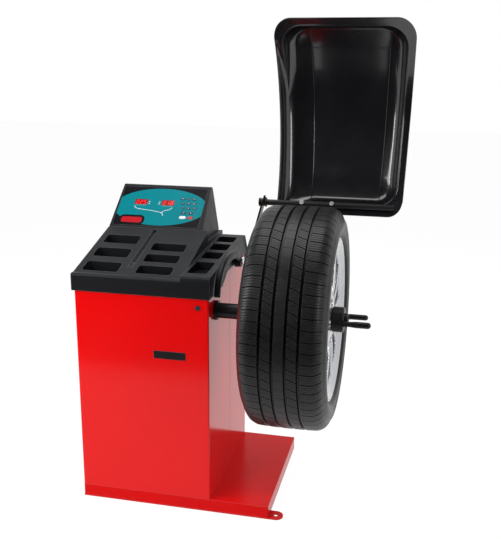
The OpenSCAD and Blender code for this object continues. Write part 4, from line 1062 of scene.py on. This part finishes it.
def makeStage():
    mesh = bpy.data.meshes.new("floor")
    size = 14.0
    mesh.from_pydata([(-size, -size, 0), (size, -size, 0), (size, size, 0), (-size, size, 0)],
                     [], [(0, 1, 2, 3)])
    floor = bpy.data.objects.new("floor", mesh)
    floor.location.z = -0.0005
    scene.collection.objects.link(floor)
    material = bpy.data.materials.new("floorPale")
    material.use_nodes = True
    tree = material.node_tree
    shader = tree.nodes["Principled BSDF"]
    shader.inputs["Base Color"].default_value = (0.9, 0.9, 0.9, 1)
    shader.inputs["Roughness"].default_value = 0.7
    shader.inputs["Specular IOR Level"].default_value = 0.1
    path = put(tree, "ShaderNodeLightPath")
    seen = maths(tree, "MAXIMUM", path.outputs["Is Camera Ray"], maths(
        tree, "MAXIMUM", path.outputs["Is Glossy Ray"], path.outputs["Is Transmission Ray"]))
    glow = put(tree, "ShaderNodeEmission", {"Color": (1, 1, 1, 1), "Strength": 1.06})
    mix = put(tree, "ShaderNodeMixShader", {
        0: maths(tree, "MULTIPLY", seen, 0.9), 1: shader.outputs[0], 2: glow.outputs[0]})
    tree.links.new(mix.outputs[0], tree.nodes["Material Output"].inputs["Surface"])
    mesh.materials.append(material)

    # a dark curtain in front and overhead, seen only in reflections
    mesh = bpy.data.meshes.new("curtain")
    y, foot, back = -2.05, -1.25, 1.6
    mesh.from_pydata([(-4.5, foot, 0.004), (4.5, foot, 0.004), (4.5, y, 0.004),
                      (-4.5, y, 0.004), (4.5, y, 3.4), (-4.5, y, 3.4), (4.5, back, 3.4),
                      (-4.5, back, 3.4)], [], [(0, 1, 2, 3), (3, 2, 4, 5), (5, 4, 6, 7)])
    curtain = bpy.data.objects.new("curtain", mesh)
    scene.collection.objects.link(curtain)
    dark = bpy.data.materials.new("curtainDark")
    dark.use_nodes = True
    dark.node_tree.nodes["Principled BSDF"].inputs["Base Color"].default_value = (
        0.02, 0.02, 0.02, 1)
    dark.node_tree.nodes["Principled BSDF"].inputs["Roughness"].default_value = 1.0
    mesh.materials.append(dark)
    curtain.visible_camera = False
    curtain.visible_shadow = False
    curtain.visible_diffuse = False


lamps = [  # name, place, aimed at, width, height, power
    ("keySoft", (-1.35, -1.95, 2.2), (0.1, 0.0, 0.7), 1.3, 1.3, 28),
    ("leftStrip", (-1.9, -1.15, 1.60), (0.3, -0.1, 1.0), 0.40, 1.8, 32),
    ("rightStrip", (2.25, -1.45, 1.60), (0.3, -0.1, 1.0), 0.40, 1.8, 18),
    ("topSoft", (0.1, 0.2, 3.0), (0.1, 0.1, 0.6), 1.8, 1.8, 36),
    ("backSoft", (1.2, 2.6, 2.0), (0.1, 0.2, 0.7), 1.4, 1.4, 30),
]


def makeLights():
    for name, place, aim, width, height, power in lamps:
        data = bpy.data.lights.new(name, "AREA")
        data.shape = "RECTANGLE"
        data.size, data.size_y = width, height
        data.energy = power
        lamp = bpy.data.objects.new(name, data)
        lamp.location = place
        lamp.visible_glossy = name != "backSoft"  # no lamp shape on the hood's back
        lamp.rotation_euler = (Vector(aim) - Vector(place)).to_track_quat("-Z", "Y").to_euler()
        scene.collection.objects.link(lamp)
    world = bpy.data.worlds.new("studio")
    scene.world = world
    world.use_nodes = True
    tree = world.node_tree
    tree.nodes.clear()
    path = put(tree, "ShaderNodeLightPath")
    seen = maths(tree, "MAXIMUM", path.outputs["Is Camera Ray"], maths(
        tree, "MAXIMUM", path.outputs["Is Glossy Ray"], path.outputs["Is Transmission Ray"]))
    fill = put(tree, "ShaderNodeBackground", {"Color": (1, 1, 1, 1), "Strength": 0.22})
    white = put(tree, "ShaderNodeBackground", {"Color": (1, 1, 1, 1), "Strength": 1.0})
    mix = put(tree, "ShaderNodeMixShader", {0: seen, 1: fill.outputs[0], 2: white.outputs[0]})
    out = put(tree, "ShaderNodeOutputWorld")
    tree.links.new(mix.outputs[0], out.inputs["Surface"])


def makeCamera():
    yaw, pitch, roll = 0.222558, 0.258567, 0.00710841
    forward = Vector((-math.sin(yaw) * math.cos(pitch), math.cos(yaw) * math.cos(pitch),
                      -math.sin(pitch)))
    right = forward.cross(Vector((0, 0, 1))).normalized()
    up = right.cross(forward)
    c, s = math.cos(roll), math.sin(roll)
    right, up = right * c + up * s, up * c - right * s
    data = bpy.data.cameras.new("photoView")
    data.sensor_fit = "AUTO"
    data.sensor_width = 36
    data.lens = 785.327 / 539 * 36
    data.clip_start, data.clip_end = 0.01, 100
    camera = bpy.data.objects.new("photoView", data)
    camera.matrix_world = Matrix((
        (right.x, up.x, -forward.x, 0.699158), (right.y, up.y, -forward.y, -2.278042),
        (right.z, up.z, -forward.z, 1.324816), (0, 0, 0, 1)))
    scene.collection.objects.link(camera)
    scene.camera = camera


makeStage()
makeLights()
makeCamera()
scene.view_settings.view_transform = "Standard"
print("stage, light and camera made")
